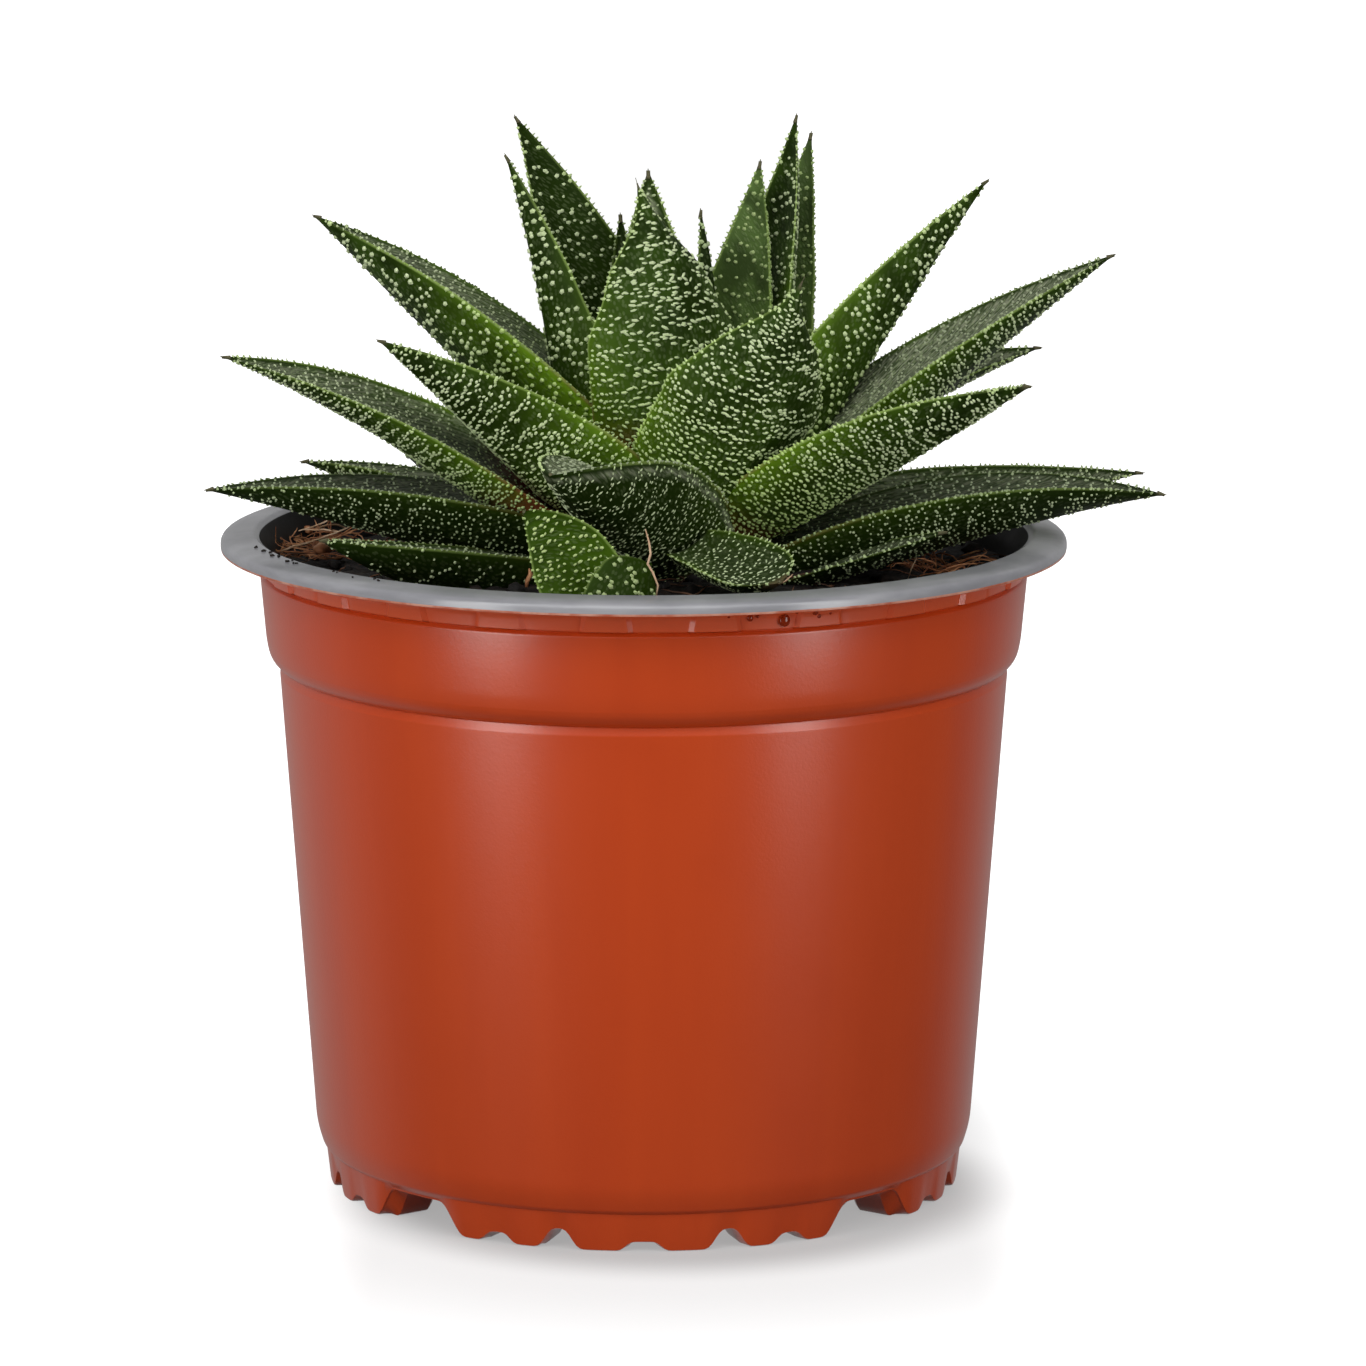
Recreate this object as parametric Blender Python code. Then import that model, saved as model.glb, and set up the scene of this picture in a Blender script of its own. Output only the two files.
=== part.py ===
"""A potted gasteria: a rosette of warty, keeled leaves in a 12 cm two-colour nursery pot.

Sizes below are in millimetres and degrees, measured from the middle of the pot's foot, and
each mesh is built in metres. The leaves spread further to the right than to the left, so
the pot's axis stands a little left of the origin, which is under the middle of the plant.
"""

import math

import bmesh
import bpy
import numpy as np
from mathutils import Vector, noise

MM = 0.001
GAP = 0.3  # clearance between neighbouring pieces
WELDS = (0.08, 0.02, 0.005, 0.001)  # distances at which a cut's seam is welded
AXIS_X = -5.9  # the pot's axis, seen from the origin

# Pot
RIM_RADIUS = 60.0
LIP_RADIUS = 55.0
POT_HEIGHT = 93.8
WALL = 1.2
STEP_RADIUS = 51.75  # of the wall just under the belt
LEDGE_Z = 88.2
BAND_Z = 78.0
FOOT_RADIUS = 45.1
FOOT_DEPTH = 7.4
FOOT_HEIGHT = 5.4
FLOOR_Z = 6.4
POT_SIDES = 60
PAD_COUNT = 23
PAD_PHASE = -5.4  # degrees from the front to the nearest pad's middle
PAD_HALF_LOW = 3.6  # half of a pad's width in degrees at its bottom
PAD_HALF_HIGH = 3.0
PAD_TOP_Z = 91.5
# Notches in the foot ring, as degrees from the front, half widths at the ring's edge and at
# the notch's top, and height. A quarter turn holds one shallow, two arched, two small and
# one broad notch.
FOOT_NOTCHES = (
    (0, 2.9, 2.4, 1.3),
    (-15.2, 3.3, 1.9, 2.8),
    (15.2, 3.3, 1.9, 2.8),
    (-26.8, 2.8, 2.3, 1.45),
    (26.8, 2.8, 2.3, 1.45),
    (45, 9.5, 5.5, 4.5),
)
DRAIN_COUNT = 8
DRAIN_RADIUS = 3.5
DRAIN_CIRCLE = 33.0

# Soil and stem
SOIL_Z = 88.3
SOIL_MOUND = 1.6
SOIL_CRUMB = 0.6  # height of the lumps in its surface
SOIL_SIDES = 36
STEM_FOOT_Z = 70.0
STEM_TOP_Z = 98.0
STEM_FOOT_RADIUS = 4.0
STEM_RADIUS = 6.5

# Leaf surface
RING_STEP = 5.0  # spacing of the cross-sections along a leaf
TOOTH = 0.35  # how far a margin tooth stands out
WART = 0.25  # how far a wart stands up
UPPER_STEPS = 4  # facets across the channelled upper face
UNDER_STEPS = 6  # facets round the keeled underside
CHANNEL = 0.22  # depth of the channel, as a share of half the leaf's width
BASE_WIDTH = 0.75  # width of the clasping base, as a share of the full width
BASE_DEPTH = 0.72
TIP_RADIUS = 0.35
SMOOTH_BELOW = math.radians(40)  # edges that bend less are shaded smooth


def clear_scene():
    for item in list(bpy.data.objects):
        bpy.data.objects.remove(item, do_unlink=True)


def material(name, colour, roughness):
    made = bpy.data.materials.new(name)
    made.use_nodes = True
    shader = made.node_tree.nodes["Principled BSDF"]
    shader.inputs["Base Color"].default_value = (*colour, 1.0)
    shader.inputs["Roughness"].default_value = roughness
    shader.inputs["Metallic"].default_value = 0.0
    made.diffuse_color = (*colour, 1.0)
    return made


def mesh_object(name, points, faces, finish):
    """One object from points in millimetres round the pot's axis."""
    mesh = bpy.data.meshes.new(name)
    mesh.from_pydata([Vector(p) * MM for p in points], [], faces)
    mesh.validate()
    made = bpy.data.objects.new(name, mesh)
    made.location.x = AXIS_X * MM
    bpy.context.scene.collection.objects.link(made)
    mesh.materials.append(finish)
    mesh.shade_smooth()
    mesh.set_sharp_from_angle(angle=SMOOTH_BELOW)
    return made


def on_circle(radius, degrees, z):
    turn = math.radians(degrees)
    return (radius * math.cos(turn), radius * math.sin(turn), z)


def turned(name, profile, sides, finish):
    """A solid of revolution. The profile runs up the outside and down the inside, and each
    end that lies on the axis closes with a single point."""
    points, rows = [], []
    for radius, z in profile:
        if radius == 0:
            rows.append([len(points)] * sides)
            points.append((0, 0, z))
            continue
        rows.append(range(len(points), len(points) + sides))
        points += [on_circle(radius, 360 * k / sides, z) for k in range(sides)]
    faces = []
    for lower, upper in zip(rows, rows[1:]):
        for k in range(sides):
            after = (k + 1) % sides
            corners = list(dict.fromkeys([lower[k], lower[after], upper[after], upper[k]]))
            if len(corners) > 2:
                faces.append(corners)
    return mesh_object(name, points, faces, finish)


def wedge(name, radii_low, radii_high, z_low, z_high, middle, half_low, half_high):
    """A block bent round the pot's axis: two radii and a half width in degrees at its
    bottom and at its top."""
    points = []
    for radii, z, half in ((radii_low, z_low, half_low), (radii_high, z_high, half_high)):
        for radius in radii:
            points += [on_circle(radius, middle - half, z), on_circle(radius, middle + half, z)]
    faces = [(1, 3, 2, 0), (6, 7, 5, 4), (4, 5, 1, 0), (3, 7, 6, 2), (2, 6, 4, 0), (5, 7, 3, 1)]
    return mesh_object(name, points, faces, None)


def remove(items):
    for item in items:
        bpy.data.objects.remove(item, do_unlink=True)


def combine(target, others, operation):
    """Join the others to the target or cut them out of it, and remove them."""
    group = bpy.data.collections.new("operands")
    for item in others:
        group.objects.link(item)
    modifier = target.modifiers.new("combine", "BOOLEAN")
    modifier.operation = operation
    modifier.operand_type = "COLLECTION"
    modifier.collection = group
    modifier.solver = "EXACT"
    modifier.use_self = operation == "UNION"
    graph = bpy.context.evaluated_depsgraph_get()
    result = bpy.data.meshes.new_from_object(target.evaluated_get(graph))
    target.modifiers.remove(modifier)
    target.data = result
    bpy.data.collections.remove(group)
    remove(others)
    tidy(target)


def islands(mesh):
    """The faces of a bmesh, grouped into the bodies that hold together."""
    left = set(mesh.faces)
    while left:
        body, edge = set(), [left.pop()]
        while edge:
            face = edge.pop()
            body.add(face)
            for side in face.edges:
                for near in side.link_faces:
                    if near in left:
                        left.remove(near)
                        edge.append(near)
        yield body


def body_volume(body):
    total = 0.0
    for face in body:
        corners = [loop.vert.co for loop in face.loops]
        for second, third in zip(corners[1:], corners[2:]):
            total += corners[0].dot(second.cross(third)) / 6
    return total


def welded(source, distance):
    mesh = bmesh.new()
    mesh.from_mesh(source)
    bmesh.ops.remove_doubles(mesh, verts=mesh.verts, dist=distance)
    bmesh.ops.dissolve_degenerate(mesh, edges=mesh.edges, dist=distance / 2)
    bmesh.ops.triangulate(mesh, faces=mesh.faces)
    return mesh


def tidy(target):
    """Weld seams as widely as leaves the surface closed, and keep only the largest body."""
    for distance in WELDS:
        mesh = welded(target.data, distance * MM)
        if all(len(edge.link_faces) == 2 for edge in mesh.edges) or distance == WELDS[-1]:
            break
        mesh.free()
    bodies = sorted(islands(mesh), key=body_volume)
    scraps = [face for body in bodies[:-1] for face in body]
    bmesh.ops.delete(mesh, geom=scraps, context="FACES")
    loose = [v for v in mesh.verts if not v.link_faces]
    bmesh.ops.delete(mesh, geom=loose, context="VERTS")
    mesh.to_mesh(target.data)
    mesh.free()
    target.data.set_sharp_from_angle(angle=SMOOTH_BELOW)


# Pot

def pot_profile():
    """Outside and inside of the pot, from the foot up and back down, as radius and height."""
    outside = [
        (FOOT_RADIUS, 0.0),
        (FOOT_RADIUS + 0.7, FOOT_HEIGHT),
        (47.0, 8.5),
        (STEP_RADIUS, 73.8),
        (51.4, 75.1),
        (52.1, 75.3),
        (53.1, 76.4),
        (53.6, BAND_Z),
        (54.4, LEDGE_Z - 0.5),
        (53.8, LEDGE_Z + 0.1),
        (55.5, 91.3),
        (59.4, 91.3),
        (RIM_RADIUS, 91.9),
        (RIM_RADIUS, 92.7),
        (59.2, 93.4),
        (LIP_RADIUS, POT_HEIGHT),
    ]
    inside = [
        (LIP_RADIUS - 0.6, 93.2),
        (53.2, 90.0),
        (STEP_RADIUS - WALL, 73.0),
        (46.4 - WALL, FLOOR_Z + 1.6),
        (44.0, FLOOR_Z),
        (0, FLOOR_Z),
    ]
    beneath = [
        (0, FLOOR_Z - WALL),
        (FOOT_RADIUS - FOOT_DEPTH, FLOOR_Z - WALL),
        (FOOT_RADIUS - FOOT_DEPTH, 0.0),
    ]
    return outside, inside, beneath


def make_pot(finish):
    outside, inside, beneath = pot_profile()
    profile = [*outside, *inside, *beneath, outside[0]]
    pot = turned("pot", profile, POT_SIDES, finish)
    tidy(pot)
    pads = []
    for k in range(PAD_COUNT):
        turn = -90 + PAD_PHASE + 360 * k / PAD_COUNT
        pads.append(wedge("pad", (53.2, 54.9), (54.2, 56.3), LEDGE_Z - 0.2, PAD_TOP_Z, turn,
                          PAD_HALF_LOW, PAD_HALF_HIGH))
    combine(pot, pads, "UNION")
    combine(pot, foot_cutters() + drain_cutters(), "DIFFERENCE")
    return pot


def foot_cutters():
    """Blocks that notch the foot ring into a row of feet, the same in each quarter."""
    radii = (FOOT_RADIUS - FOOT_DEPTH - 1, FOOT_RADIUS + 2)
    made = []
    for quarter in range(4):
        for middle, half_low, half_high, height in FOOT_NOTCHES:
            turn = -90 + 90 * quarter + middle
            made.append(wedge("notch", radii, radii, -1.0, height, turn, half_low, half_high))
    return made


def drain_cutters():
    made = []
    for k in range(DRAIN_COUNT):
        turn = 360 * (k + 0.5) / DRAIN_COUNT
        bpy.ops.mesh.primitive_cylinder_add(vertices=8, radius=DRAIN_RADIUS * MM, depth=4 * MM)
        hole = bpy.context.object
        x, y, _ = on_circle(DRAIN_CIRCLE, turn, 0)
        hole.location = ((x + AXIS_X) * MM, y * MM, (FLOOR_Z - WALL / 2) * MM)
        made.append(hole)
    bpy.context.view_layer.update()
    return made


# Soil and stem

def make_soil(finish):
    """A plug that fills the pot to just under the lip, domed a little round the stem."""
    _, inside, _ = pot_profile()
    wall = sorted(inside[1:-1], key=lambda point: point[1])
    heights = [z for _, z in wall]
    levels = [z + GAP for z in heights[:-1]] + [SOIL_Z]
    side = [(np.interp(z - GAP, heights, [radius for radius, _ in wall]) - GAP, z) for z in levels]
    crown = [(radius, SOIL_Z) for radius in (45.0, 35.0, 24.0, 13.0, 0)]
    soil = turned("soil", [(0, levels[0]), *side, *crown], SOIL_SIDES, finish)
    for point in soil.data.vertices:
        if point.co.z < (SOIL_Z - 0.01) * MM:
            continue
        out = point.co.xy.length / (LIP_RADIUS * MM)
        crumb = noise.noise(Vector((point.co.x, point.co.y, 0)) * 110) * SOIL_CRUMB
        point.co.z += (SOIL_MOUND * (1 - out**2) + crumb) * MM
    tidy(soil)
    return soil


def stem_profile(grow):
    middle = (STEM_FOOT_Z + STEM_TOP_Z) / 2
    return [
        (0, STEM_FOOT_Z - grow),
        (STEM_FOOT_RADIUS + grow, STEM_FOOT_Z - grow),
        (STEM_RADIUS + grow, middle),
        (STEM_RADIUS * 0.8 + grow, STEM_TOP_Z - 4),
        (STEM_RADIUS * 0.35 + grow, STEM_TOP_Z + grow),
        (0, STEM_TOP_Z + grow),
    ]


def make_stem(finish, grow=0.0):
    return turned("stem", stem_profile(grow), 12, finish)


# Leaves

def leaf(name, base, heading, rise, length, width, **shape):
    """One leaf. Its midline leaves the base at the heading and the rise, and curls and
    sweeps by so many degrees to the tip. Roll tips the channelled face to one side, belly
    is where it is broadest and taper how long it stays broad."""
    row = dict(depth=0.4 * width, curl=0, sweep=0, roll=0, belly=0.3, taper=1.6, full=0.58)
    row.update(name=name, base=base, heading=heading, rise=rise, length=length, width=width)
    row.update(shape)
    return row


# From the heart of the rosette outwards. Heading 0 points right, 90 to the back.
LEAVES = [
    leaf("leaf_heart_slim", (5, 3, 100), 58.5, 73.5, 39, 6.5, depth=4.5, curl=16, roll=72),
    leaf("leaf_heart_left", (-1, 4, 100), 103.5, 74.5, 38.5, 10, depth=5, taper=1.4),
    leaf("leaf_heart_back", (2, 3, 100), 97.5, 81.5, 44.5, 16, sweep=5, curl=-4),
    leaf("leaf_heart_front", (2, -5, 97.5), -70.5, 76, 47, 23.5, depth=8, curl=41, sweep=15,
         belly=0.52, taper=1.2, full=0.75),
    leaf("leaf_upright_left_near", (-3, -1, 98.5), 158, 79, 51.5, 17.5, curl=-19, roll=-45, taper=1.1),
    leaf("leaf_upright_left_far", (1.5, 1, 100.5), 136.5, 73.5, 57, 22.5, depth=7, curl=-22,
         sweep=6, roll=6, belly=0.36, taper=1.3),
    leaf("leaf_upright_right_near", (5.5, 5, 97.5), 56.5, 58.5, 51, 18.5, curl=14, sweep=3,
         roll=8, taper=1.4),
    leaf("leaf_upright_right_middle", (7, 6, 96.5), 55.5, 56.5, 60, 19.5, depth=7, curl=13,
         sweep=2, roll=21, taper=1.4),
    leaf("leaf_upright_right_far", (10.5, 8, 95), 63, 52, 61, 18.5, curl=11, sweep=4, taper=1.1),
    leaf("leaf_upright_back", (1, 6, 99), 84, 62, 40, 17, curl=-12),
    leaf("leaf_upper_right", (7.5, 2, 97.5), 24, 52.5, 63.5, 19.5, depth=9.5, curl=-17,
         sweep=-2, roll=35, taper=1.4),
    leaf("leaf_front_right", (4, -8, 99), -47.5, 46.5, 42.5, 24, depth=9, curl=12, sweep=2,
         roll=26, belly=0.5, taper=1.3, full=0.75),
    leaf("leaf_upper_left", (2, -2, 104), 171, 50.5, 61, 22, depth=11, curl=-33, sweep=-4,
         roll=-5, taper=2.0),
    leaf("leaf_middle_right", (8.5, 0, 95), 6, 44.5, 70, 23, curl=-24, roll=-3, taper=1.8),
    leaf("leaf_middle_left_near", (-1, -5, 98.5), -152.5, 44, 47.5, 23, curl=-23, sweep=-3,
         roll=-15, belly=0.24),
    leaf("leaf_middle_right_far", (7.5, 4, 96.5), 23.5, 37, 59, 18.5, curl=-34, roll=-13),
    leaf("leaf_middle_back_right", (6, 6, 96), 61, 36, 48, 20, curl=-20),
    leaf("leaf_middle_back", (1, 7, 97), 89, 42, 48, 20, curl=-22),
    leaf("leaf_middle_back_left", (-4, 6, 96), 117, 33, 47, 20, curl=-20),
    leaf("leaf_middle_right_near", (10, -8, 97), -24, 42.5, 54, 22.5, curl=-37, sweep=-6,
         roll=3, belly=0.4, taper=2.2),
    leaf("leaf_middle_left", (-7.5, -6, 96), -167.5, 41, 59.5, 21, depth=7.5, curl=-31,
         sweep=7, roll=14, belly=0.24),
    leaf("leaf_front", (8, -9, 93.5), -119.5, 41.5, 44.5, 18.5, depth=13, curl=-42, sweep=-3,
         roll=-13, belly=0.58, taper=2.6, full=0.8),
    leaf("leaf_low_back_right", (7, 6, 93), 50, 18, 47, 19, curl=-16),
    leaf("leaf_low_back", (4, 8, 92), 76, 14, 50, 20, curl=-14),
    leaf("leaf_low_back_middle", (-1, 8, 92), 103, 17, 50, 20, curl=-16),
    leaf("leaf_low_back_left", (-6, 7, 92), 129, 15, 49, 19, curl=-14),
    leaf("leaf_low_left_far", (-10.5, 4, 92.5), 163.5, 28.5, 42, 17.5, curl=-33, roll=-5, taper=1.8),
    leaf("leaf_low_left", (-10, -4, 96), -169.5, 19.5, 53, 20, depth=9.5, curl=-27),
    leaf("leaf_low_right", (14, -6, 91), -1.5, 30, 61.5, 21.5, depth=9.5, curl=-42, sweep=-5,
         belly=0.42, taper=1.8),
    leaf("leaf_low_right_far", (11.5, 4, 94), 14.5, 10, 63, 16, depth=5, curl=-11, roll=-13,
         belly=0.4, taper=1.9),
    leaf("leaf_soil_left", (-9.5, -12, 91.5), -149.5, 10.5, 41.5, 16, depth=8, curl=-4,
         sweep=2, roll=-3, taper=2.0),
    leaf("leaf_soil_right", (16.5, -14, 87), -23, 23, 29, 14.5, depth=3, curl=-9, sweep=2,
         roll=-3, belly=0.46, taper=2.1),
    leaf("leaf_soil_front", (6, -27, 96.5), -44.5, -1.5, 19.5, 10, depth=6, curl=-13,
         sweep=-11, roll=-18, belly=0.56, taper=4.0),
    leaf("pup_leaf_tall", (-5.5, -42, 84.5), 180, 55.5, 21.5, 9.5, depth=3, curl=14, roll=84,
         belly=0.42, taper=1.9),
    leaf("pup_leaf_short", (-6, -43, 86), 34, 57.5, 12.5, 12.5, depth=3, curl=-20, roll=92,
         belly=0.52, taper=2.2),
]


def directions(row, along):
    """Unit vectors along the leaf, across it and out of its upper face."""
    pitch = np.radians(row["rise"] + row["curl"] * along)
    yaw = np.radians(row["heading"] + row["sweep"] * along)
    forward = np.stack([np.cos(pitch) * np.cos(yaw), np.cos(pitch) * np.sin(yaw), np.sin(pitch)], -1)
    level = np.stack([np.sin(yaw), -np.cos(yaw), 0 * yaw], -1)
    up = np.cross(level, forward)
    roll = math.radians(row["roll"])
    across = math.cos(roll) * level + math.sin(roll) * up
    out = math.cos(roll) * up - math.sin(roll) * level
    return forward, across, out


def midline(row, along):
    """The leaf's line from base to tip, summed from its direction in fine steps."""
    fine = np.linspace(0, 1, 97)
    forward, _, _ = directions(row, (fine[1:] + fine[:-1]) / 2)
    steps = forward * row["length"] / (len(fine) - 1)
    line = np.vstack([[0, 0, 0], np.cumsum(steps, axis=0)]) + np.array(row["base"], float)
    return np.stack([np.interp(along, fine, line[:, axis]) for axis in range(3)], -1)


def half_width(row, along):
    clasp = BASE_WIDTH + (1 - BASE_WIDTH) * np.sin(np.clip(along / row["belly"], 0, 1) * math.pi / 2)
    narrowing = np.clip((along - row["belly"]) / (1 - row["belly"]), 0, 1)
    return row["width"] / 2 * clasp * (1 - narrowing ** row["taper"])


def keel_depth(row, along):
    start = row["belly"] * 0.6
    thinning = np.clip((along - start) / (1 - start), 0, 1) ** (row["taper"] + 0.25)
    swell = BASE_DEPTH + (1 - BASE_DEPTH) * np.sin(np.clip(along / 0.3, 0, 1) * math.pi / 2)
    return row["depth"] * swell * (1 - thinning)


def outline(row, half, keel):
    """Points round one cross-section: over the channelled face, then back round the keel."""
    points = []
    for k in range(UPPER_STEPS):
        u = -1 + 2 * k / UPPER_STEPS
        points.append((u * half, -CHANNEL * half * (1 - u * u)))
    for k in range(UNDER_STEPS):
        share = k / UNDER_STEPS
        turn = math.pi * share
        straight = 1 - 2 * share
        point = straight, -(1 - abs(straight))
        round_x = row["full"] * math.cos(turn) + (1 - row["full"]) * point[0]
        round_y = -row["full"] * math.sin(turn) + (1 - row["full"]) * point[1]
        points.append((round_x * half, round_y * keel))
    return points


def widened(points, reach):
    """The cross-section with its edges moved outwards. Sharp corners are cut short."""
    made = []
    for k, here in enumerate(points):
        normals = []
        for start, end in ((points[k - 1], here), (here, points[(k + 1) % len(points)])):
            edge = Vector((end[0] - start[0], end[1] - start[1])).normalized()
            normals.append(Vector((-edge.y, edge.x)))
        corner = (normals[0] + normals[1]) / max(1 + normals[0].dot(normals[1]), 0.35)
        made.append((here[0] + corner.x * reach, here[1] + corner.y * reach))
    return made


def roughened(points, ring):
    """The cross-section with a tooth on each margin of every other ring, and warts between
    them that stand in staggered rows."""
    made = []
    for k, (x, y) in enumerate(points):
        if k in (0, UPPER_STEPS):
            x += math.copysign(TOOTH, x) if ring % 2 and ring > 1 else 0
        elif (ring + k) % 2 and abs(points[0][0]) > 4 * TOOTH:
            y += WART if k < UPPER_STEPS else -WART
        made.append((x, y))
    return made


def leaf_points(row, grow):
    """Cross-sections of a leaf, with toothed margins and staggered warts, or grown smooth
    by the clearance that its neighbours keep."""
    count = max(6, round(row["length"] / RING_STEP))
    along = np.linspace(0, 1, count + 1)[:-1]
    along = np.append(along, 1 - 0.4 / count)
    middle = midline(row, along)
    _, across, out = directions(row, along)
    half, keel = half_width(row, along), keel_depth(row, along)
    rings = []
    for k, place in enumerate(middle):
        section = outline(row, max(half[k], TIP_RADIUS), max(keel[k], TIP_RADIUS))
        section = widened(section, grow + WART) if grow else roughened(section, k)
        rings.append([place + across[k] * x + out[k] * y for x, y in section])
    tip = midline(row, np.array([1.0]))[0]
    if grow:
        forward, _, _ = directions(row, np.array([0.0, 1.0]))
        tip = tip + forward[1] * grow
        rings[0] = [point - forward[0] * grow for point in rings[0]]
    return rings, tip


def make_leaf(row, finish, grow=0.0):
    rings, tip = leaf_points(row, grow)
    sides = UPPER_STEPS + UNDER_STEPS
    points = [point for ring in rings for point in ring] + [tip]
    faces = [tuple(reversed(range(sides)))]
    for k in range(len(rings) - 1):
        for j in range(sides):
            a, b = k * sides + j, k * sides + (j + 1) % sides
            c, d = b + sides, a + sides
            faces += [(a, b, c), (a, c, d)] if (k + j) % 2 else [(a, b, d), (b, c, d)]
    last = (len(rings) - 1) * sides
    faces += [(last + j, last + (j + 1) % sides, len(points) - 1) for j in range(sides)]
    made = mesh_object(row["name"], points, faces, finish)
    face_out(made)
    return made


def face_out(target):
    mesh = bmesh.new()
    mesh.from_mesh(target.data)
    bmesh.ops.recalc_face_normals(mesh, faces=mesh.faces)
    mesh.to_mesh(target.data)
    mesh.free()


def boxes_meet(first, second):
    corners = [np.array([item.matrix_world @ v.co for v in item.data.vertices]) for item in (first, second)]
    low = [points.min(axis=0) for points in corners]
    high = [points.max(axis=0) for points in corners]
    return bool(np.all(low[0] < high[1]) and np.all(low[1] < high[0]))


def cut_clear(target, pieces):
    """Cut a piece back from grown copies of its neighbours."""
    bpy.context.view_layer.update()
    near = [item for item in pieces if boxes_meet(target, item)]
    far = [item for item in pieces if item not in near]
    remove(far)
    if near:
        combine(target, near, "DIFFERENCE")


def make_plant(leaf_finish, pup_finish, stem_finish):
    """The stem, and each leaf cut clear of it and of the leaves nearer the heart."""
    make_stem(stem_finish)
    for k, row in enumerate(LEAVES):
        finish = pup_finish if row["name"].startswith("pup") else leaf_finish
        made = make_leaf(row, finish)
        cut_clear(made, [make_stem(None, GAP)] + [make_leaf(inner, None, GAP) for inner in LEAVES[:k]])


def cut_soil(soil):
    cut_clear(soil, [make_stem(None, GAP)] + [make_leaf(row, None, GAP) for row in LEAVES])


def main():
    clear_scene()
    terracotta = material("terracotta_plastic", (0.62, 0.10, 0.035), 0.38)
    soil_brown = material("potting_soil", (0.028, 0.018, 0.012), 0.95)
    leaf_green = material("leaf_green", (0.035, 0.12, 0.018), 0.45)
    pup_green = material("pup_green", (0.06, 0.2, 0.02), 0.42)
    stem_green = material("stem_green", (0.12, 0.13, 0.05), 0.6)
    make_pot(terracotta)
    soil = make_soil(soil_brown)
    make_plant(leaf_green, pup_green, stem_green)
    cut_soil(soil)


main()
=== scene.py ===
"""A potted gasteria, dressed: leaves with real warts and toothed margins, the two-colour pot
with its pads and cut foot, damp soil with coir in it, and a white studio.

Lengths are in millimetres and angles in degrees, measured from the pot's axis at its foot,
and turned into metres as each mesh is made. Heading 0 points to the photo's right and 90
away from the camera."""

import math

import bpy
import numpy as np
from mathutils import Matrix, Vector, noise


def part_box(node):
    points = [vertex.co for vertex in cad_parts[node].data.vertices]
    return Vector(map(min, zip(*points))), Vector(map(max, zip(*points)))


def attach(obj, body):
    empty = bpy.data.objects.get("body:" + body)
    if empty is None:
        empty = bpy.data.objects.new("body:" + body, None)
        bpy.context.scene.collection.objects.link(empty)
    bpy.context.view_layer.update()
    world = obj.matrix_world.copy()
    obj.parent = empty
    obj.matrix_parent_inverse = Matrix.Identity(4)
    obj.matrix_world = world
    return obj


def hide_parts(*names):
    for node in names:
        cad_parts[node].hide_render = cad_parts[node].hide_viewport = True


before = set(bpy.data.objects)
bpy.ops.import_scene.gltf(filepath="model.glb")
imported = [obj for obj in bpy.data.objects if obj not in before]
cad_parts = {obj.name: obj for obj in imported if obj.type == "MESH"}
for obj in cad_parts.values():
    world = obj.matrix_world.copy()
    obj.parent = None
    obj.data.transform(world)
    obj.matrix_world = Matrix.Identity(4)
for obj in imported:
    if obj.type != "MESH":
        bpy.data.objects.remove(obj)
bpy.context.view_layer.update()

MM = 0.001
POT_LOW, POT_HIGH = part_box("pot")
AXIS = np.array([(POT_LOW.x + POT_HIGH.x) / 2, (POT_LOW.y + POT_HIGH.y) / 2, 0.0])
SEED = 7

# Camera, fitted to the pot's rim, ledge and foot
CAMERA_PLACE = (0.0, -1000.0, 255.5)
CAMERA_DOWN = 10.42
CAMERA_TURN = 0.32
CAMERA_ROLL = -0.09
LENS = 188.0
SENSOR = 36.0

# Light, in metres and watts. The floor glows by itself, less so in a soft shade round the
# foot, whose steps are metres from and to and the glow's rise between them
FLOOR_GLOW = 0.37  # at the foot ring
SHADE_MIDDLE = (4, -10, 0)  # millimetres
SHADE_STEPS = ((0.0375, 0.0525, 0.36), (0.050, 0.110, 0.27))
SHADE_SIDES = (0.040, 0.056, 0.35)  # the same to either side, where the shade ends
FLOOR_GREY = 0.22
FLOOR_SIZE = 16.0
# The surround, in front of the plant and behind it
WORLD_FRONT = 0.07
WORLD_BACK = 0.42
TOP_LIGHT = 2.0
# The soft boxes stand upright: degrees from the camera, distance, width and watts
BOX_LOW, BOX_HIGH = 0.005, 0.44
SOFT_BOXES = (
    ("left_box", -43, 0.33, 0.10, 0.60),
    ("right_box", 45, 0.33, 0.09, 0.50),
)

# Pot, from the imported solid's box and the same profile
RIM_RADIUS = (POT_HIGH.x - POT_LOW.x) / 2 / MM
POT_HEIGHT = POT_HIGH.z / MM
PAD_COUNT = 23
PAD_STATIONS = 24  # corners round the pot for each pad
PAD_PHASE = -5.4
PAD_HALF_LOW = 3.6
PAD_HALF_HIGH = 3.0
PAD_SIDE = 0.36  # half the width of a pad's slanted side
PAD_PROUD = 0.38
LEDGE_Z = 88.2
NECK_TOP_Z = 91.4
FOOT_RADIUS = 45.1
FOOT_DEPTH = 7.4
FOOT_CHAMFER = 2.1  # reach of the slanted corner at each notch, inwards
NOTCH_INSIDE = 0.72  # how wide a notch stays behind it
FOOT_TOP_Z = 5.4
FLOOR_Z = 6.4
WALL = 1.2
# Notches in the foot ring: degrees to either side of the front, half widths at the ring's
# edge and at the notch's top, and height, the same in each quarter
FOOT_NOTCHES = (
    (0, 3.6, 2.7, 1.3),
    (15.2, 3.4, 1.5, 2.8),
    (26.8, 3.0, 1.9, 1.45),
    (44.5, 10.1, 6.2, 4.5),
)

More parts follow.
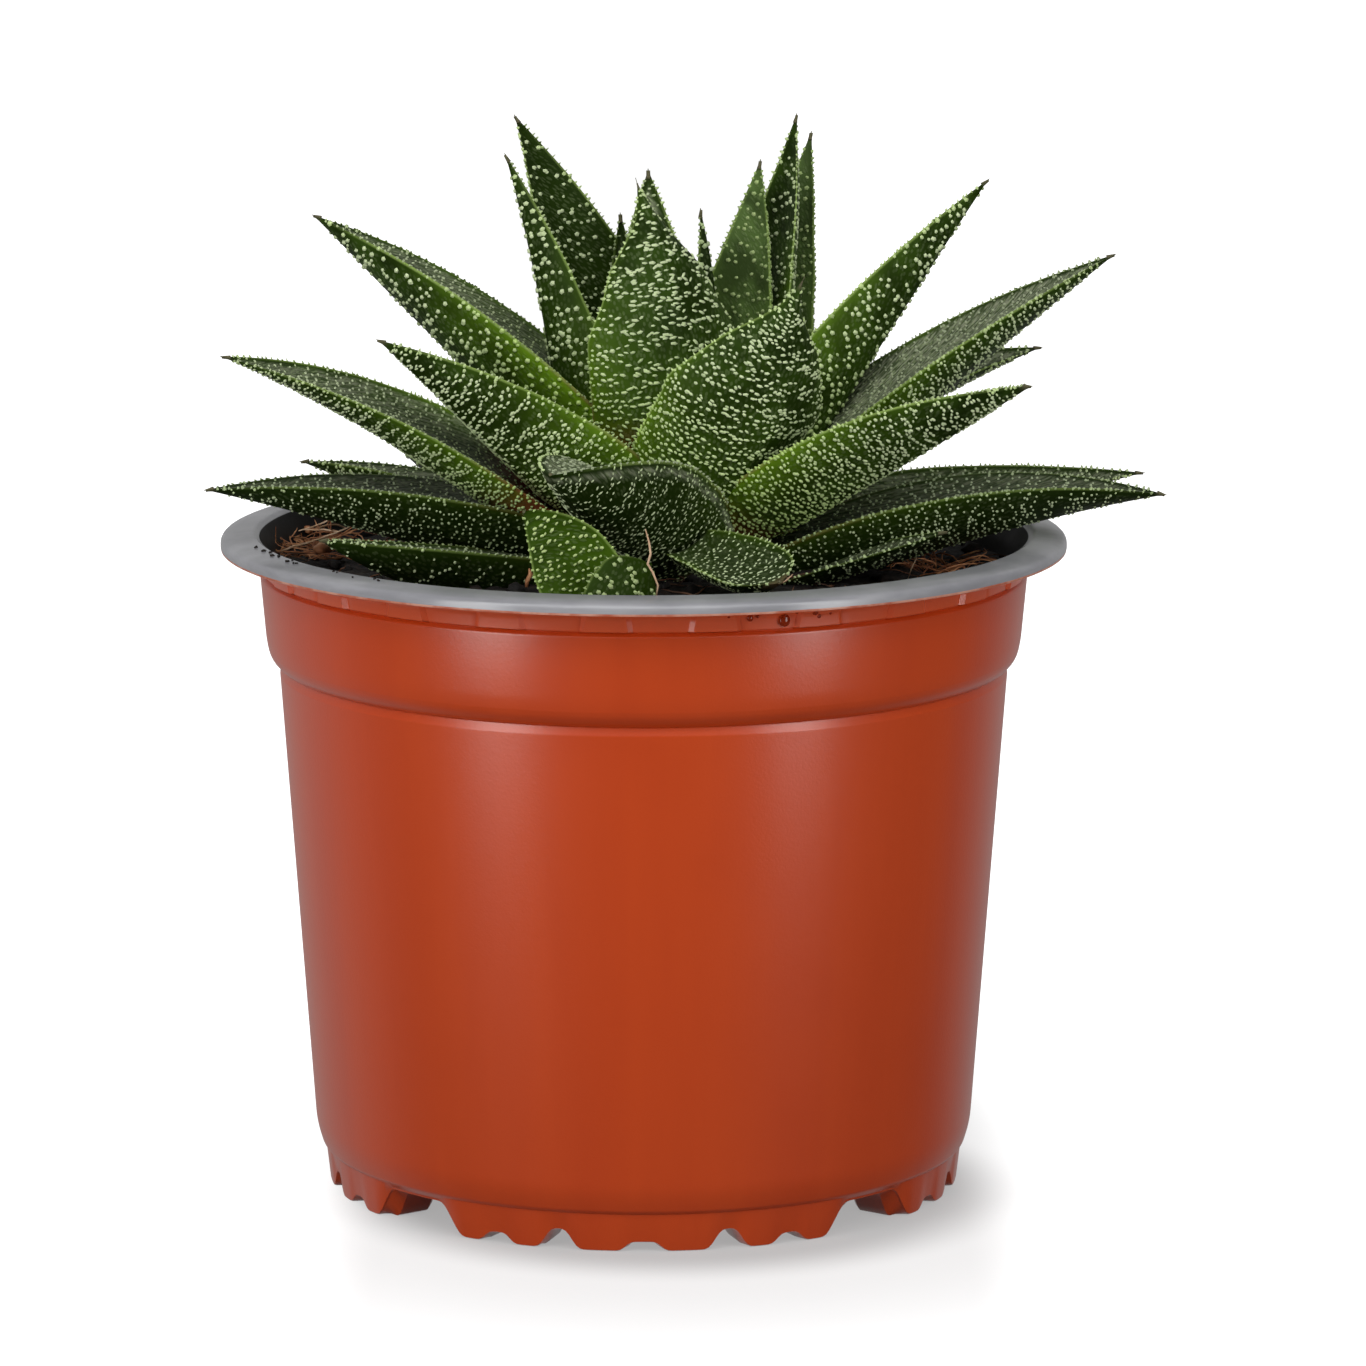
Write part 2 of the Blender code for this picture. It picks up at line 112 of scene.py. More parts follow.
# Soil, and how many bits of each kind lie on it
SOIL_Z = 88.3
SOIL_RADIUS = 53.4
SOIL_MOUND = 1.6
CRUMBS = 420
RIM_SPECKS = 16
WOOD_CHIPS = 26
LOOSE_FIBRES = 150
TANGLE_FIBRES = 110
BUNDLE_FIBRES = 5
TUFT_FIBRES = 60

# Leaf surface
ALONG_STEPS = 52
UPPER_STEPS = 16
UNDER_STEPS = 26
CHANNEL = 0.22
BASE_WIDTH = 0.75
BASE_DEPTH = 0.72
TIP_RADIUS = 0.30
TOOTH_PITCH = 0.95
BARE_BAND = 0.10  # from the margin to the first warts on the underside


def to_frame(points):
    """Millimetres round the pot's axis to metres in the frame."""
    return np.asarray(points, float) * MM + AXIS


def mesh_piece(name, points, faces, materials, slots=None):
    """One object from points round the pot's axis, shaded smooth."""
    mesh = bpy.data.meshes.new(name)
    mesh.from_pydata(to_frame(points).tolist(), [], faces)
    for finish in materials:
        mesh.materials.append(finish)
    if slots is not None:
        mesh.polygons.foreach_set("material_index", np.asarray(slots, np.int32))
    mesh.shade_smooth()
    made = bpy.data.objects.new(name, mesh)
    bpy.context.scene.collection.objects.link(made)
    return made


def join_root(piece, slot, *nodes):
    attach(piece, "root")
    if nodes:
        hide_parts(*nodes)
    return piece


def on_circle(radius, degrees, z):
    turn = math.radians(degrees)
    return radius * math.cos(turn), radius * math.sin(turn), z


def bands(rings, around, first=0, inward=False):
    """The four-sided faces between closed rings of points."""
    faces = []
    for k in range(rings - 1):
        for j in range(around):
            a, b = (first + k * around + step for step in (j, (j + 1) % around))
            if inward:
                faces.append((a, a + around, b + around, b))
            else:
                faces.append((a, b, b + around, a + around))
    return faces


def ends(count, around):
    """The two faces that close a stack of rings of so many points in all."""
    return [tuple(range(around))[::-1], tuple(range(count - around, count))]


def gathered(name, bodies, finish, slot):
    """One piece from many small bodies, each given as its points and faces."""
    points, faces, count = [], [], 0
    for body, shape in bodies:
        points.append(body)
        faces += [tuple(count + k for k in face) for face in shape]
        count += len(body)
    return join_root(mesh_piece(name, np.vstack(points), faces, [finish]), slot)


def smooth_step(low, high, value):
    share = np.clip((value - low) / (high - low), 0, 1)
    return share * share * (3 - 2 * share)


# Shader nodes as expressions

class Wire:
    """An output socket. Arithmetic on wires adds Math nodes."""

    def __init__(self, shade, socket):
        self.shade = shade
        self.socket = socket

    def _math(self, operation, first, second):
        return self.shade.node("Math", {"operation": operation}, {0: first, 1: second})

    def __add__(self, other):
        return self._math("ADD", self, other)

    def __radd__(self, other):
        return self._math("ADD", other, self)

    def __sub__(self, other):
        return self._math("SUBTRACT", self, other)

    def __rsub__(self, other):
        return self._math("SUBTRACT", other, self)

    def __mul__(self, other):
        return self._math("MULTIPLY", self, other)

    def __rmul__(self, other):
        return self._math("MULTIPLY", other, self)

    def __truediv__(self, other):
        return self._math("DIVIDE", self, other)

    def ramp(self, low, high):
        """0 below low and 1 above high, smoothly. High may be the lower one."""
        settings = {"interpolation_type": "SMOOTHSTEP"}
        if low < high:
            return self.shade.node("MapRange", settings, {0: self, 1: low, 2: high})
        return self.shade.node("MapRange", settings, {0: self, 1: high, 2: low, 3: 1.0, 4: 0.0})


class Shade:
    """A tree of shader nodes, of a new material unless one is given."""

    def __init__(self, name, tree=None):
        if tree is None:
            self.material = bpy.data.materials.new(name)
            self.material.use_nodes = True
            tree = self.material.node_tree
            self.surface = tree.nodes["Principled BSDF"]
        self.tree = tree

    def node(self, kind, settings=None, inputs=None, output=0):
        made = self.tree.nodes.new("ShaderNode" + kind)
        for key, value in (settings or {}).items():
            setattr(made, key, value)
        for key, value in (inputs or {}).items():
            self.feed(made.inputs[key], value)
        return Wire(self, made.outputs[output])

    def feed(self, socket, value):
        if isinstance(value, Wire):
            self.tree.links.new(value.socket, socket)
        elif isinstance(value, tuple) and len(value) == 3 and socket.type == "RGBA":
            socket.default_value = (*value, 1.0)
        else:
            socket.default_value = value

    def mix(self, first, second, share):
        """A colour between two colours."""
        return self.node("Mix", {"data_type": "RGBA"}, {0: share, 6: first, 7: second}, 2)

    def scaled(self, vector, amounts):
        return self.node("VectorMath", {"operation": "MULTIPLY"}, {0: vector, 1: amounts})

    def part(self, vector, k):
        return self.node("SeparateXYZ", None, {0: vector}, k)

    def attribute(self, name):
        """A vector kept on the mesh, and its three parts."""
        vector = self.node("Attribute", {"attribute_name": name}, output=1)
        return vector, [self.part(vector, k) for k in range(3)]

    def place(self):
        return self.node("TexCoord", output="Object")

    def grain(self, vector, scale, detail=3.0, roughness=0.55):
        inputs = {"Vector": vector, "Scale": scale, "Detail": detail, "Roughness": roughness}
        return self.node("TexNoise", None, inputs)

    def cells(self, vector, scale, dimensions="3D"):
        """How far each point is from the nearest of some scattered centres."""
        settings = {"voronoi_dimensions": dimensions}
        return self.node("TexVoronoi", settings, {"Vector": vector, "Scale": scale}, "Distance")

    def bump(self, height, strength, distance):
        inputs = {"Height": height, "Strength": strength, "Distance": distance}
        self.feed(self.surface.inputs["Normal"], self.node("Bump", None, inputs))

    def set(self, **values):
        for key, value in values.items():
            self.feed(self.surface.inputs[key.replace("_", " ")], value)
        return self.material


# Materials

def leaf_skin(name, deep, bright):
    """Waxy leaf skin: deep green, brighter towards the base and along the margins, grey and
    finely rough on the upper face, partly as a painted sheen, rusty where it clasps the stem
    and brown at the tip. Leaves that lie in shade are darkened as painted shade."""
    shade = Shade(name)
    _, (along, margin, from_tip) = shade.attribute("leaf_place")
    grain_at, _ = shade.attribute("leaf_grain")
    _, (glow, rust, shadow) = shade.attribute("leaf_tone")
    _, (frost, tipped, scar) = shade.attribute("leaf_side")
    streaks = shade.grain(shade.scaled(grain_at, (0.55, 2.1, 1.0)), 1.0, 4.0)
    clouds = shade.grain(shade.scaled(grain_at, (0.16, 0.16, 1.0)), 1.0, 3.0)
    deep = shade.mix(deep, tuple(2.6 * part for part in deep), glow * clouds.ramp(0.35, 0.65))
    specks = shade.cells(shade.scaled(grain_at, (1.05, 1.55, 0.0)), 1.0, "2D")
    fine_warts = specks.ramp(0.40, 0.20) * margin.ramp(0.7, 1.3) * clouds.ramp(0.30, 0.55)
    base_light = along.ramp(0.80, 0.0) * glow * (0.15 + 0.85 * margin.ramp(8.0, 0.6))
    edge_light = margin.ramp(1.9, 0.4) * (0.10 + 0.4 * glow) * along.ramp(0.9, 0.3)
    light = base_light * (0.45 + 0.8 * clouds) + edge_light * 0.45
    flesh = shade.mix(deep, bright, light)
    line = margin.ramp(0.50, 0.12) * along.ramp(0.99, 0.75)
    flesh = shade.mix(flesh, (0.28, 0.40, 0.10), line * (0.55 + 0.35 * glow))
    # Rough grey texture and a painted sheen, laid on the upper face and on the underside's edges
    rough_grey_and_sheen = shade.mix((0.064, 0.090, 0.038), (0.33, 0.36, 0.24), streaks.ramp(0.40, 0.66))
    flesh = shade.mix(flesh, rough_grey_and_sheen, frost * margin.ramp(0.4, 1.6))
    flesh = shade.mix(flesh, (0.33, 0.42, 0.20), fine_warts * (0.14 + 0.36 * frost))
    # Painted shade: leaves that lie in shade are darkened towards near black
    flesh = shade.mix(flesh, (0.0035, 0.0075, 0.0012), shadow)
    clasp = (along / (0.2 + rust)).ramp(0.15, 0.02) * rust * (0.45 + clouds)
    flesh = shade.mix(flesh, (0.19, 0.052, 0.018), clasp)
    edge_rust = margin.ramp(0.8, 0.1) * along.ramp(0.45, 0.08) * rust
    flesh = shade.mix(flesh, (0.21, 0.075, 0.025), edge_rust * 0.7)
    flesh = shade.mix(flesh, (0.125, 0.118, 0.065), from_tip.ramp(1.7, 0.3) * tipped)
    dry = from_tip.ramp(2.6, 0.6) * scar * streaks.ramp(0.3, 0.6)
    flesh = shade.mix(flesh, (0.40, 0.27, 0.15), dry)
    shade.bump(fine_warts + streaks * (0.5 + frost), 0.45, 0.00016)
    return shade.set(Base_Color=flesh, Roughness=0.42 + 0.16 * clouds, Specular_IOR_Level=0.06)


def wart_skin(name, pale, fresh):
    """The raised warts: cream, greener where the leaf is bright, greyed on its upper face,
    partly as a painted sheen, and darkened as painted shade on leaves that lie in shade.
    """
    shade = Shade(name)
    _, (along, margin, from_tip) = shade.attribute("leaf_place")
    grain_at, _ = shade.attribute("leaf_grain")
    _, (glow, rust, shadow) = shade.attribute("leaf_tone")
    _, (frost, tipped, _) = shade.attribute("leaf_side")
    mottle = shade.grain(grain_at, 0.9, 2.0)
    green = along.ramp(0.7, 0.1) * glow + margin.ramp(1.6, 0.4) * 0.5
    colour = shade.mix(pale, fresh, green)
    colour = shade.mix(colour, (0.26, 0.37, 0.14), mottle.ramp(0.48, 0.75) * 0.5)
    colour = shade.mix(colour, (0.34, 0.38, 0.26), frost * 0.7)
    colour = shade.mix(colour, (0.30, 0.16, 0.07), along.ramp(0.12, 0.02) * rust)
    # Painted shade on the warts of leaves that lie in shade
    colour = shade.mix(colour, (0.26, 0.33, 0.21), shadow)
    colour = shade.mix(colour, (0.24, 0.24, 0.14), from_tip.ramp(1.4, 0.5) * tipped)
    return shade.set(Base_Color=colour, Roughness=0.5, Specular_IOR_Level=0.25)


def pot_orange():
    """Satin thermoformed plastic with faint lengthwise flow marks, painted paler at the neck
    as painted light, standing in for the light that the rim's shade keeps off it."""
    shade = Shade("terracotta_plastic")
    place = shade.place()
    flow = shade.grain(shade.scaled(place, (1.0, 1.0, 0.06)), 90.0, 3.0)
    fine = shade.grain(place, 2600.0, 2.0)
    clouds = shade.grain(place, 26.0, 2.0)
    colour = shade.mix((0.61, 0.061, 0.0062), (0.65, 0.069, 0.0073), flow.ramp(0.3, 0.7))
    colour = shade.mix(colour, (0.57, 0.053, 0.0050), clouds.ramp(0.55, 0.8) * 0.5)
    # Painted light: the neck under the rim is lightened against the rim's shade
    neck = shade.part(place, 2).ramp(MM * LEDGE_Z, MM * LEDGE_Z + 0.0005)
    colour = shade.mix(colour, (0.90, 0.15, 0.050), 0.5 * neck)
    shade.bump(fine, 0.26, 0.00006)
    return shade.set(Base_Color=colour, Roughness=0.27 + 0.06 * fine, Specular_IOR_Level=0.85)


def pot_edge():
    """The sheared edge of the orange layer under the rim, paler than its faces."""
    shade = Shade("sheared_edge")
    wear = shade.grain(shade.place(), 300.0, 3.0)
    colour = shade.mix((0.50, 0.12, 0.06), (0.66, 0.32, 0.23), wear.ramp(0.35, 0.65))
    return shade.set(Base_Color=colour, Roughness=0.35 + 0.1 * wear)


def pot_grey():
    """The pot's grey inner layer, which also makes its rim."""
    shade = Shade("grey_plastic")
    place = shade.place()
    fine = shade.grain(place, 1800.0, 2.0)
    scuffs = shade.grain(shade.scaled(place, (1.0, 1.0, 4.0)), 60.0, 4.0)
    colour = shade.mix((0.28, 0.28, 0.30), (0.39, 0.39, 0.41), scuffs.ramp(0.35, 0.7))
    shade.bump(fine, 0.10, 0.00005)
    return shade.set(Base_Color=colour, Roughness=0.17 + 0.12 * scuffs, Specular_IOR_Level=0.8)


def pot_inside():
    """The inside of the wall: dark with the peat that clings to it, and darker still as
    painted shade inside the pot.
    """
    shade = Shade("peat_and_painted_shade_wall")
    smear = shade.grain(shade.place(), 140.0, 5.0, 0.7)
    colour = shade.mix((0.002, 0.0016, 0.0015), (0.010, 0.008, 0.007), smear.ramp(0.4, 0.7))
    shade.bump(smear, 0.4, 0.0002)
    return shade.set(Base_Color=colour, Roughness=0.5 + 0.3 * smear)


def peat():
    shade = Shade("damp_peat")
    place = shade.place()
    crumbs = shade.cells(place, 900.0)
    lumps = shade.grain(place, 300.0, 6.0, 0.7)
    colour = shade.mix((0.006, 0.0045, 0.0035), (0.040, 0.022, 0.012), lumps.ramp(0.42, 0.8))
    shade.bump(lumps + crumbs * 0.5, 0.9, 0.0006)
    return shade.set(Base_Color=colour, Roughness=0.75 + 0.2 * lumps)


def fibre(name, dark, light):
    shade = Shade(name)
    place = shade.place()
    lengths = shade.grain(place, 240.0, 3.0)
    strands = shade.grain(place, 2400.0, 2.0)
    colour = shade.mix(dark, light, lengths.ramp(0.35, 0.7))
    shade.bump(strands, 0.5, 0.0001)
    return shade.set(Base_Color=colour, Roughness=0.6 + 0.2 * strands)


def wet_plastic():
    """A drop of water on the pot: the plastic looks darker through it."""
    shade = Shade("wet_plastic")
    ripple = shade.grain(shade.place(), 400.0, 1.0)
    colour = shade.mix((0.26, 0.022, 0.002), (0.34, 0.032, 0.003), ripple)
    return shade.set(Base_Color=colour, Roughness=0.04 + 0.04 * ripple)


# Leaf form

# How warts lie on a face: millimetres between rows and between warts in a row, half a
# wart's width, how much longer than wide it may be, and the share left out
DENSE = dict(along=0.86, across=0.80, size=0.265, dash=2.1, gaps=0.03)
ROWS = dict(along=0.94, across=0.84, size=0.285, dash=2.7, gaps=0.05)
DOTS = dict(along=1.28, across=1.12, size=0.38, dash=1.35, gaps=0.24)
LOOSE = dict(along=1.5, across=1.25, size=0.34, dash=1.4, gaps=0.30)
SOILED = dict(along=1.5, across=1.2, size=0.25, dash=1.6, gaps=0.30)
NEEDLES = dict(along=1.15, across=0.72, size=0.155, dash=3.2, gaps=0.06)
CREAM = dict(along=0.98, across=0.95, size=0.26, dash=1.9, gaps=0.12)
SMALL = dict(along=1.12, across=0.88, size=0.215, dash=1.5, gaps=0.14)
FINE = dict(along=1.30, across=1.05, size=0.23, dash=1.8, gaps=0.14)


def leaf(name, base, heading, rise, length, width, **shape):
    """One leaf. Its midline leaves the base at the heading and the rise, and curls and
    sweeps by so many degrees to the tip. Roll tips the channelled face to one side, belly
    is where it is broadest, taper how long it stays broad and full how round its underside
    is. Drawn is how much its end narrows to a fine point, and spine how far the hard tip
    runs back. Under and over say how the warts lie on its two faces. Glow and rust tint
    it, and shadow paints shade on it where it lies in shade. Frost greys its upper face and
    hoar the edges of its underside, both as rough grey texture and as a painted sheen;
    tipped browns the tip and scar dries it."""
    row = dict(depth=0.4 * width, curl=0, sweep=0, roll=0, belly=0.3, taper=1.6, full=0.58)
    row.update(under=DENSE, over=FINE, glow=0.5, rust=0.5, shadow=0.0, frost=0.6, slot="leaf")
    row.update(spine=1.2, tipped=1.0, scar=0.0, drawn=0.0, hoar=0.0, finish="leaf")
    row.update(name=name, base=base, heading=heading, rise=rise, length=length, width=width)
    row.update(shape)
    return row


def back_leaf(name, base, heading, rise, length, width, curl):
    """A leaf at the back of the rosette, with scattered warts on both faces."""
    return leaf(name, base, heading, rise, length, width, curl=curl, under=LOOSE, over=LOOSE)


# From the heart of the rosette outwards
LEAVES = [
    leaf("leaf_heart_slim", (5, 3, 100), 58.5, 73.5, 39, 6.5, depth=4.5, curl=16, roll=72,
         under=DOTS, glow=0.1, shadow=0.35),
    leaf("leaf_heart_left", (-1, 4, 100), 103.5, 74.5, 38.5, 10, depth=5, taper=1.4, glow=0.2),
    leaf("leaf_heart_back", (2, 3, 100), 97.5, 81.5, 44.5, 16, sweep=5, curl=-4, under=ROWS,
         glow=0.35),
    leaf("leaf_heart_front", (2, -5, 97.5), -70.5, 76, 47, 23.5, depth=8, curl=41, sweep=15,
         belly=0.52, taper=1.2, full=0.75, under=ROWS, glow=0.75, rust=2.0, spine=4.0,
         drawn=0.55),
    leaf("leaf_upright_left_near", (-3, -1, 98.5), 158, 79, 51.5, 17.5, curl=-19, roll=-45,
         taper=1.1, under=DOTS, over=DOTS, glow=0.4, rust=0.8, frost=0.2),
    leaf("leaf_upright_left_far", (1.5, 1, 100.5), 136.5, 73.5, 57, 22.5, depth=7, curl=-22,
         sweep=6, roll=6, belly=0.36, taper=1.3, over=LOOSE, glow=0.2, frost=0.0),
    leaf("leaf_upright_right_near", (5.5, 5, 97.5), 56.5, 58.5, 51, 18.5, curl=14, sweep=3,
         roll=8, taper=1.4, over=LOOSE, glow=1.0, frost=0.0, finish="painted_haze"),
    leaf("leaf_upright_right_middle", (7, 6, 96.5), 55.5, 56.5, 60, 19.5, depth=7, curl=13,
         sweep=2, roll=21, taper=1.4, over=LOOSE, glow=0.8, frost=0.0),
    leaf("leaf_upright_right_far", (10.5, 8, 95), 63, 52, 61, 18.5, curl=11, sweep=4,
         taper=1.1, over=LOOSE, glow=0.6, frost=0.0, finish="painted_haze"),
    back_leaf("leaf_upright_back", (1, 6, 99), 84, 62, 40, 17, curl=-12),
    leaf("leaf_upper_right", (7.5, 2, 97.5), 24, 52.5, 63.5, 19.5, depth=9.5, curl=-17,
         sweep=-2, roll=35, taper=1.4, under=DOTS, glow=0.8),
    leaf("leaf_front_right", (4, -8, 99), -47.5, 46.5, 42.5, 24, depth=9, curl=12, sweep=2,
         roll=26, belly=0.5, taper=1.3, full=0.75, glow=0.75, rust=0.6, spine=4.0,
         drawn=0.6),
    leaf("leaf_upper_left", (2, -2, 104), 171, 50.5, 61, 22, depth=11, curl=-33, sweep=-4,
         roll=-5, taper=2.0, under=DOTS, glow=1.2, rust=1.0),
    leaf("leaf_middle_right", (8.5, 0, 95), 6, 44.5, 70, 23, curl=-24, roll=-3, taper=1.8,
         glow=0.6, frost=1.0),
    leaf("leaf_middle_left_near", (-1, -5, 98.5), -152.5, 44, 47.5, 23, curl=-23, sweep=-3,
         roll=-15, belly=0.24, glow=0.65, rust=0.9),
    leaf("leaf_middle_right_far", (7.5, 4, 96.5), 23.5, 37, 59, 18.5, curl=-34, roll=-13,
         glow=0.3),
    back_leaf("leaf_middle_back_right", (6, 6, 96), 61, 36, 48, 20, curl=-20),
    back_leaf("leaf_middle_back", (1, 7, 97), 89, 42, 48, 20, curl=-22),
    back_leaf("leaf_middle_back_left", (-4, 6, 96), 117, 33, 47, 20, curl=-20),
    leaf("leaf_middle_right_near", (10, -8, 97), -24, 42.5, 54, 22.5, curl=-37, sweep=-6,
         roll=3, belly=0.4, taper=2.2, glow=0.9, rust=1.0),
    leaf("leaf_middle_left", (-7.5, -6, 96), -167.5, 41, 59.5, 21, depth=7.5, curl=-31,
         sweep=7, roll=14, belly=0.24, glow=0.7, rust=2.0),
    leaf("leaf_front", (8, -9, 93.5), -119.5, 54, 45.5, 18.5, depth=13, curl=-68, sweep=-3,
         roll=-2, belly=0.58, taper=2.6, full=0.8, under=NEEDLES, glow=0.12, rust=0.6,
         shadow=0.12, tipped=0.0, spine=0.3, frost=1.0, hoar=1.2),
    back_leaf("leaf_low_back_right", (7, 6, 93), 50, 18, 47, 19, curl=-16),
    back_leaf("leaf_low_back", (4, 8, 92), 76, 14, 50, 20, curl=-14),
    back_leaf("leaf_low_back_middle", (-1, 8, 92), 103, 17, 50, 20, curl=-16),
    back_leaf("leaf_low_back_left", (-6, 7, 92), 129, 15, 49, 19, curl=-14),
    leaf("leaf_low_left_far", (-10.5, 4, 92.5), 163.5, 28.5, 42, 17.5, curl=-33, roll=-5,
         taper=1.8, glow=0.2),
    leaf("leaf_low_left", (-10, -4, 96), -169.5, 19.5, 53, 20, depth=9.5, curl=-27,
         under=SMALL, glow=0.1, shadow=0.3),
    leaf("leaf_low_right", (14, -6, 91), -1.5, 30, 61.5, 21.5, depth=9.5, curl=-42, sweep=-5,
         belly=0.42, taper=1.8, under=SMALL, glow=0.15, shadow=0.3),
    leaf("leaf_low_right_far", (11.5, 4, 94), 14.5, 10, 63, 16, depth=5, curl=-11, roll=-13,
         belly=0.4, taper=1.9, glow=0.2),
    leaf("leaf_soil_left", (-9.5, -12, 91.5), -149.5, 10.5, 41.5, 16, depth=8, curl=-4,
         sweep=2, roll=-3, taper=2.0, under=SOILED, glow=0.1, shadow=0.2),
    leaf("leaf_soil_right", (16.5, -14, 88.2), -23, 23, 29, 14.5, depth=3, curl=-9, sweep=2,
         roll=-3, belly=0.46, taper=2.1, under=SMALL, glow=0.1, shadow=0.3),
    leaf("leaf_soil_front", (6, -27, 96.5), -44.5, -1.5, 20, 12, depth=5, curl=-16,
         sweep=-11, roll=-17, belly=0.56, taper=2.9, under=NEEDLES, over=NEEDLES, glow=0.1,
         shadow=0.2, rust=0.0, tipped=0.0, scar=0.5, spine=0.3, frost=0.1),
    leaf("pup_leaf_tall", (-5.9, -42, 84), 180, 86, 22.5, 12, depth=3, curl=-50, roll=84,
         belly=0.5, taper=1.8, under=DOTS, over=CREAM, glow=0.35, rust=0.0, tipped=0.0,
         spine=0.3, frost=0.0, slot="pup_leaf", finish="pup"),
    leaf("pup_leaf_short", (-6, -43, 86), 34, 57.5, 12.5, 12.5, depth=3, curl=-20, roll=92,
         belly=0.52, taper=2.2, under=DOTS, over=CREAM, glow=0.0, rust=0.0, shadow=0.3,
         tipped=0.0, spine=0.3, frost=0.0, slot="pup_leaf", finish="pup"),
]


def directions(row, along):
    """Unit vectors along the leaf, across it and out of its upper face."""
    pitch = np.radians(row["rise"] + row["curl"] * along)
    yaw = np.radians(row["heading"] + row["sweep"] * along)
    reach = np.cos(pitch)
    forward = np.stack([reach * np.cos(yaw), reach * np.sin(yaw), np.sin(pitch)], -1)
    level = np.stack([np.sin(yaw), -np.cos(yaw), 0 * yaw], -1)
    up = np.cross(level, forward)
    roll = math.radians(row["roll"])
    across = math.cos(roll) * level + math.sin(roll) * up
    out = math.cos(roll) * up - math.sin(roll) * level
    return forward, across, out


def midline(row, along):
    fine = np.linspace(0, 1, 97)
    forward, _, _ = directions(row, (fine[1:] + fine[:-1]) / 2)
    steps = forward * row["length"] / (len(fine) - 1)
    line = np.vstack([[0, 0, 0], np.cumsum(steps, axis=0)]) + np.array(row["base"], float)
    return np.stack([np.interp(along, fine, line[:, axis]) for axis in range(3)], -1)


def half_width(row, along):
    clasp = BASE_WIDTH + (1 - BASE_WIDTH) * np.sin(np.clip(along / row["belly"], 0, 1) * math.pi / 2)
    narrowing = np.clip((along - row["belly"]) / (1 - row["belly"]), 0, 1)
    return row["width"] / 2 * clasp * (1 - narrowing ** row["taper"])


def keel_depth(row, along):
    start = row["belly"] * 0.6
    thinning = np.clip((along - start) / (1 - start), 0, 1) ** (row["taper"] + 0.25)
    swell = BASE_DEPTH + (1 - BASE_DEPTH) * np.sin(np.clip(along / 0.3, 0, 1) * math.pi / 2)
    return row["depth"] * swell * (1 - thinning)


def section(row, half, keel):
    """Points round one cross-section, closely spaced at the margins, which come out rounded."""
    u = np.sin(np.linspace(-1, 1, UPPER_STEPS, endpoint=False) * math.pi / 2)
    upper = np.stack([u * half, -CHANNEL * half * (1 - u * u)], -1)
    share = np.linspace(0, 1, UNDER_STEPS, endpoint=False)
    share = share - 0.55 / (4 * math.pi) * np.sin(4 * math.pi * share)
    turn = math.pi * share
    straight = 1 - 2 * share
    full = row["full"]
    under = np.stack([
        half * (full * np.cos(turn) + (1 - full) * straight),
        keel * (-full * np.sin(turn) - (1 - full) * (1 - np.abs(straight))),
    ], -1)
    ring = np.vstack([upper, under])
    for _ in range(2):
        ring = (np.roll(ring, 1, 0) + 2 * ring + np.roll(ring, -1, 0)) / 4
    return ring


def leaf_grid(row, random):
    """The leaf's surface as rings of points, with each point's normal and its place on the
    leaf: along it, millimetres round from the keel, and millimetres from the nearer margin."""
    along = 1 - (1 - np.linspace(0, 1, ALONG_STEPS)) ** 1.25
    along[-1] = 0.999
    middle = midline(row, along)
    _, across, out = directions(row, along)
    waver = 1 + 0.02 * np.interp(along, np.linspace(0, 1, 12), random.standard_normal(12))
    half = half_width(row, along) * (1 - row["drawn"] * smooth_step(0.72, 0.97, along))
    blunt = TIP_RADIUS * (1 - row["drawn"])
    half = np.maximum(half * waver, blunt)
    keel = np.maximum(keel_depth(row, along), blunt)
    flat = np.array([section(row, h, k) for h, k in zip(half, keel)])
    points = middle[:, None] + across[:, None] * flat[..., :1] + out[:, None] * flat[..., 1:]
    edges = np.linalg.norm(np.diff(flat, axis=1, append=flat[:, :1]), axis=2)
    arc = np.cumsum(edges, axis=1) - edges
    right = arc[:, UPPER_STEPS][:, None]
    whole = edges.sum(axis=1)[:, None]
    margin = np.minimum(np.minimum(arc, np.abs(arc - right)), whole - arc)
    round_next = np.roll(points, -1, 1) - np.roll(points, 1, 1)
    along_next = np.gradient(points, axis=0)
    normal = np.cross(round_next, along_next)
    normal /= np.linalg.norm(normal, axis=2, keepdims=True) + 1e-9
    outward = points - (middle - out * keel[:, None] * 0.3)[:, None]
    if (normal * outward).sum() < 0:
        normal = -normal
    return dict(along=along, points=points, normal=normal, arc=arc, whole=whole[:, 0],
                right=right[:, 0], margin=margin)


def at_place(grid, ring, arc):
    """A point on the leaf at a fractional ring and so many millimetres round it, with the
    surface's normal there and the direction round the leaf."""
    low = int(min(ring, ALONG_STEPS - 2))
    share = ring - low
    found = []
    for k in (low, low + 1):
        whole = grid["whole"][k]
        here = arc / grid["whole"][low] * whole
        stops = np.append(grid["arc"][k], whole)
        rows = np.vstack([grid["points"][k], grid["points"][k][:1]])
        normals = np.vstack([grid["normal"][k], grid["normal"][k][:1]])
        j = min(int(np.searchsorted(stops, here, "right")) - 1, len(stops) - 2)
        part = (here - stops[j]) / max(stops[j + 1] - stops[j], 1e-6)
        point = rows[j] + (rows[j + 1] - rows[j]) * part
        normal = normals[j] + (normals[j + 1] - normals[j]) * part
        found.append((point, normal, rows[j + 1] - rows[j]))
    point, normal, level = (a + (b - a) * share for a, b in zip(*found))
    return point, normal / np.linalg.norm(normal), level / (np.linalg.norm(level) + 1e-9)


def stud_template(rings, sides):
    """A small stud of two rings with a closed top."""
    turns = np.arange(sides) * 2 * math.pi / sides
    points = [(r * math.cos(t), r * math.sin(t), h) for r, h in rings for t in turns]
    faces = [(k, (k + 1) % sides, sides + (k + 1) % sides, sides + k) for k in range(sides)]
    return np.array(points), faces + [tuple(range(sides, 2 * sides))]


# Warts and teeth: rings as radius and height
WART = stud_template(((1.0, -0.35), (0.62, 1.0)), 5)
TOOTH = stud_template(((1.0, -0.4), (0.36, 1.0)), 4)


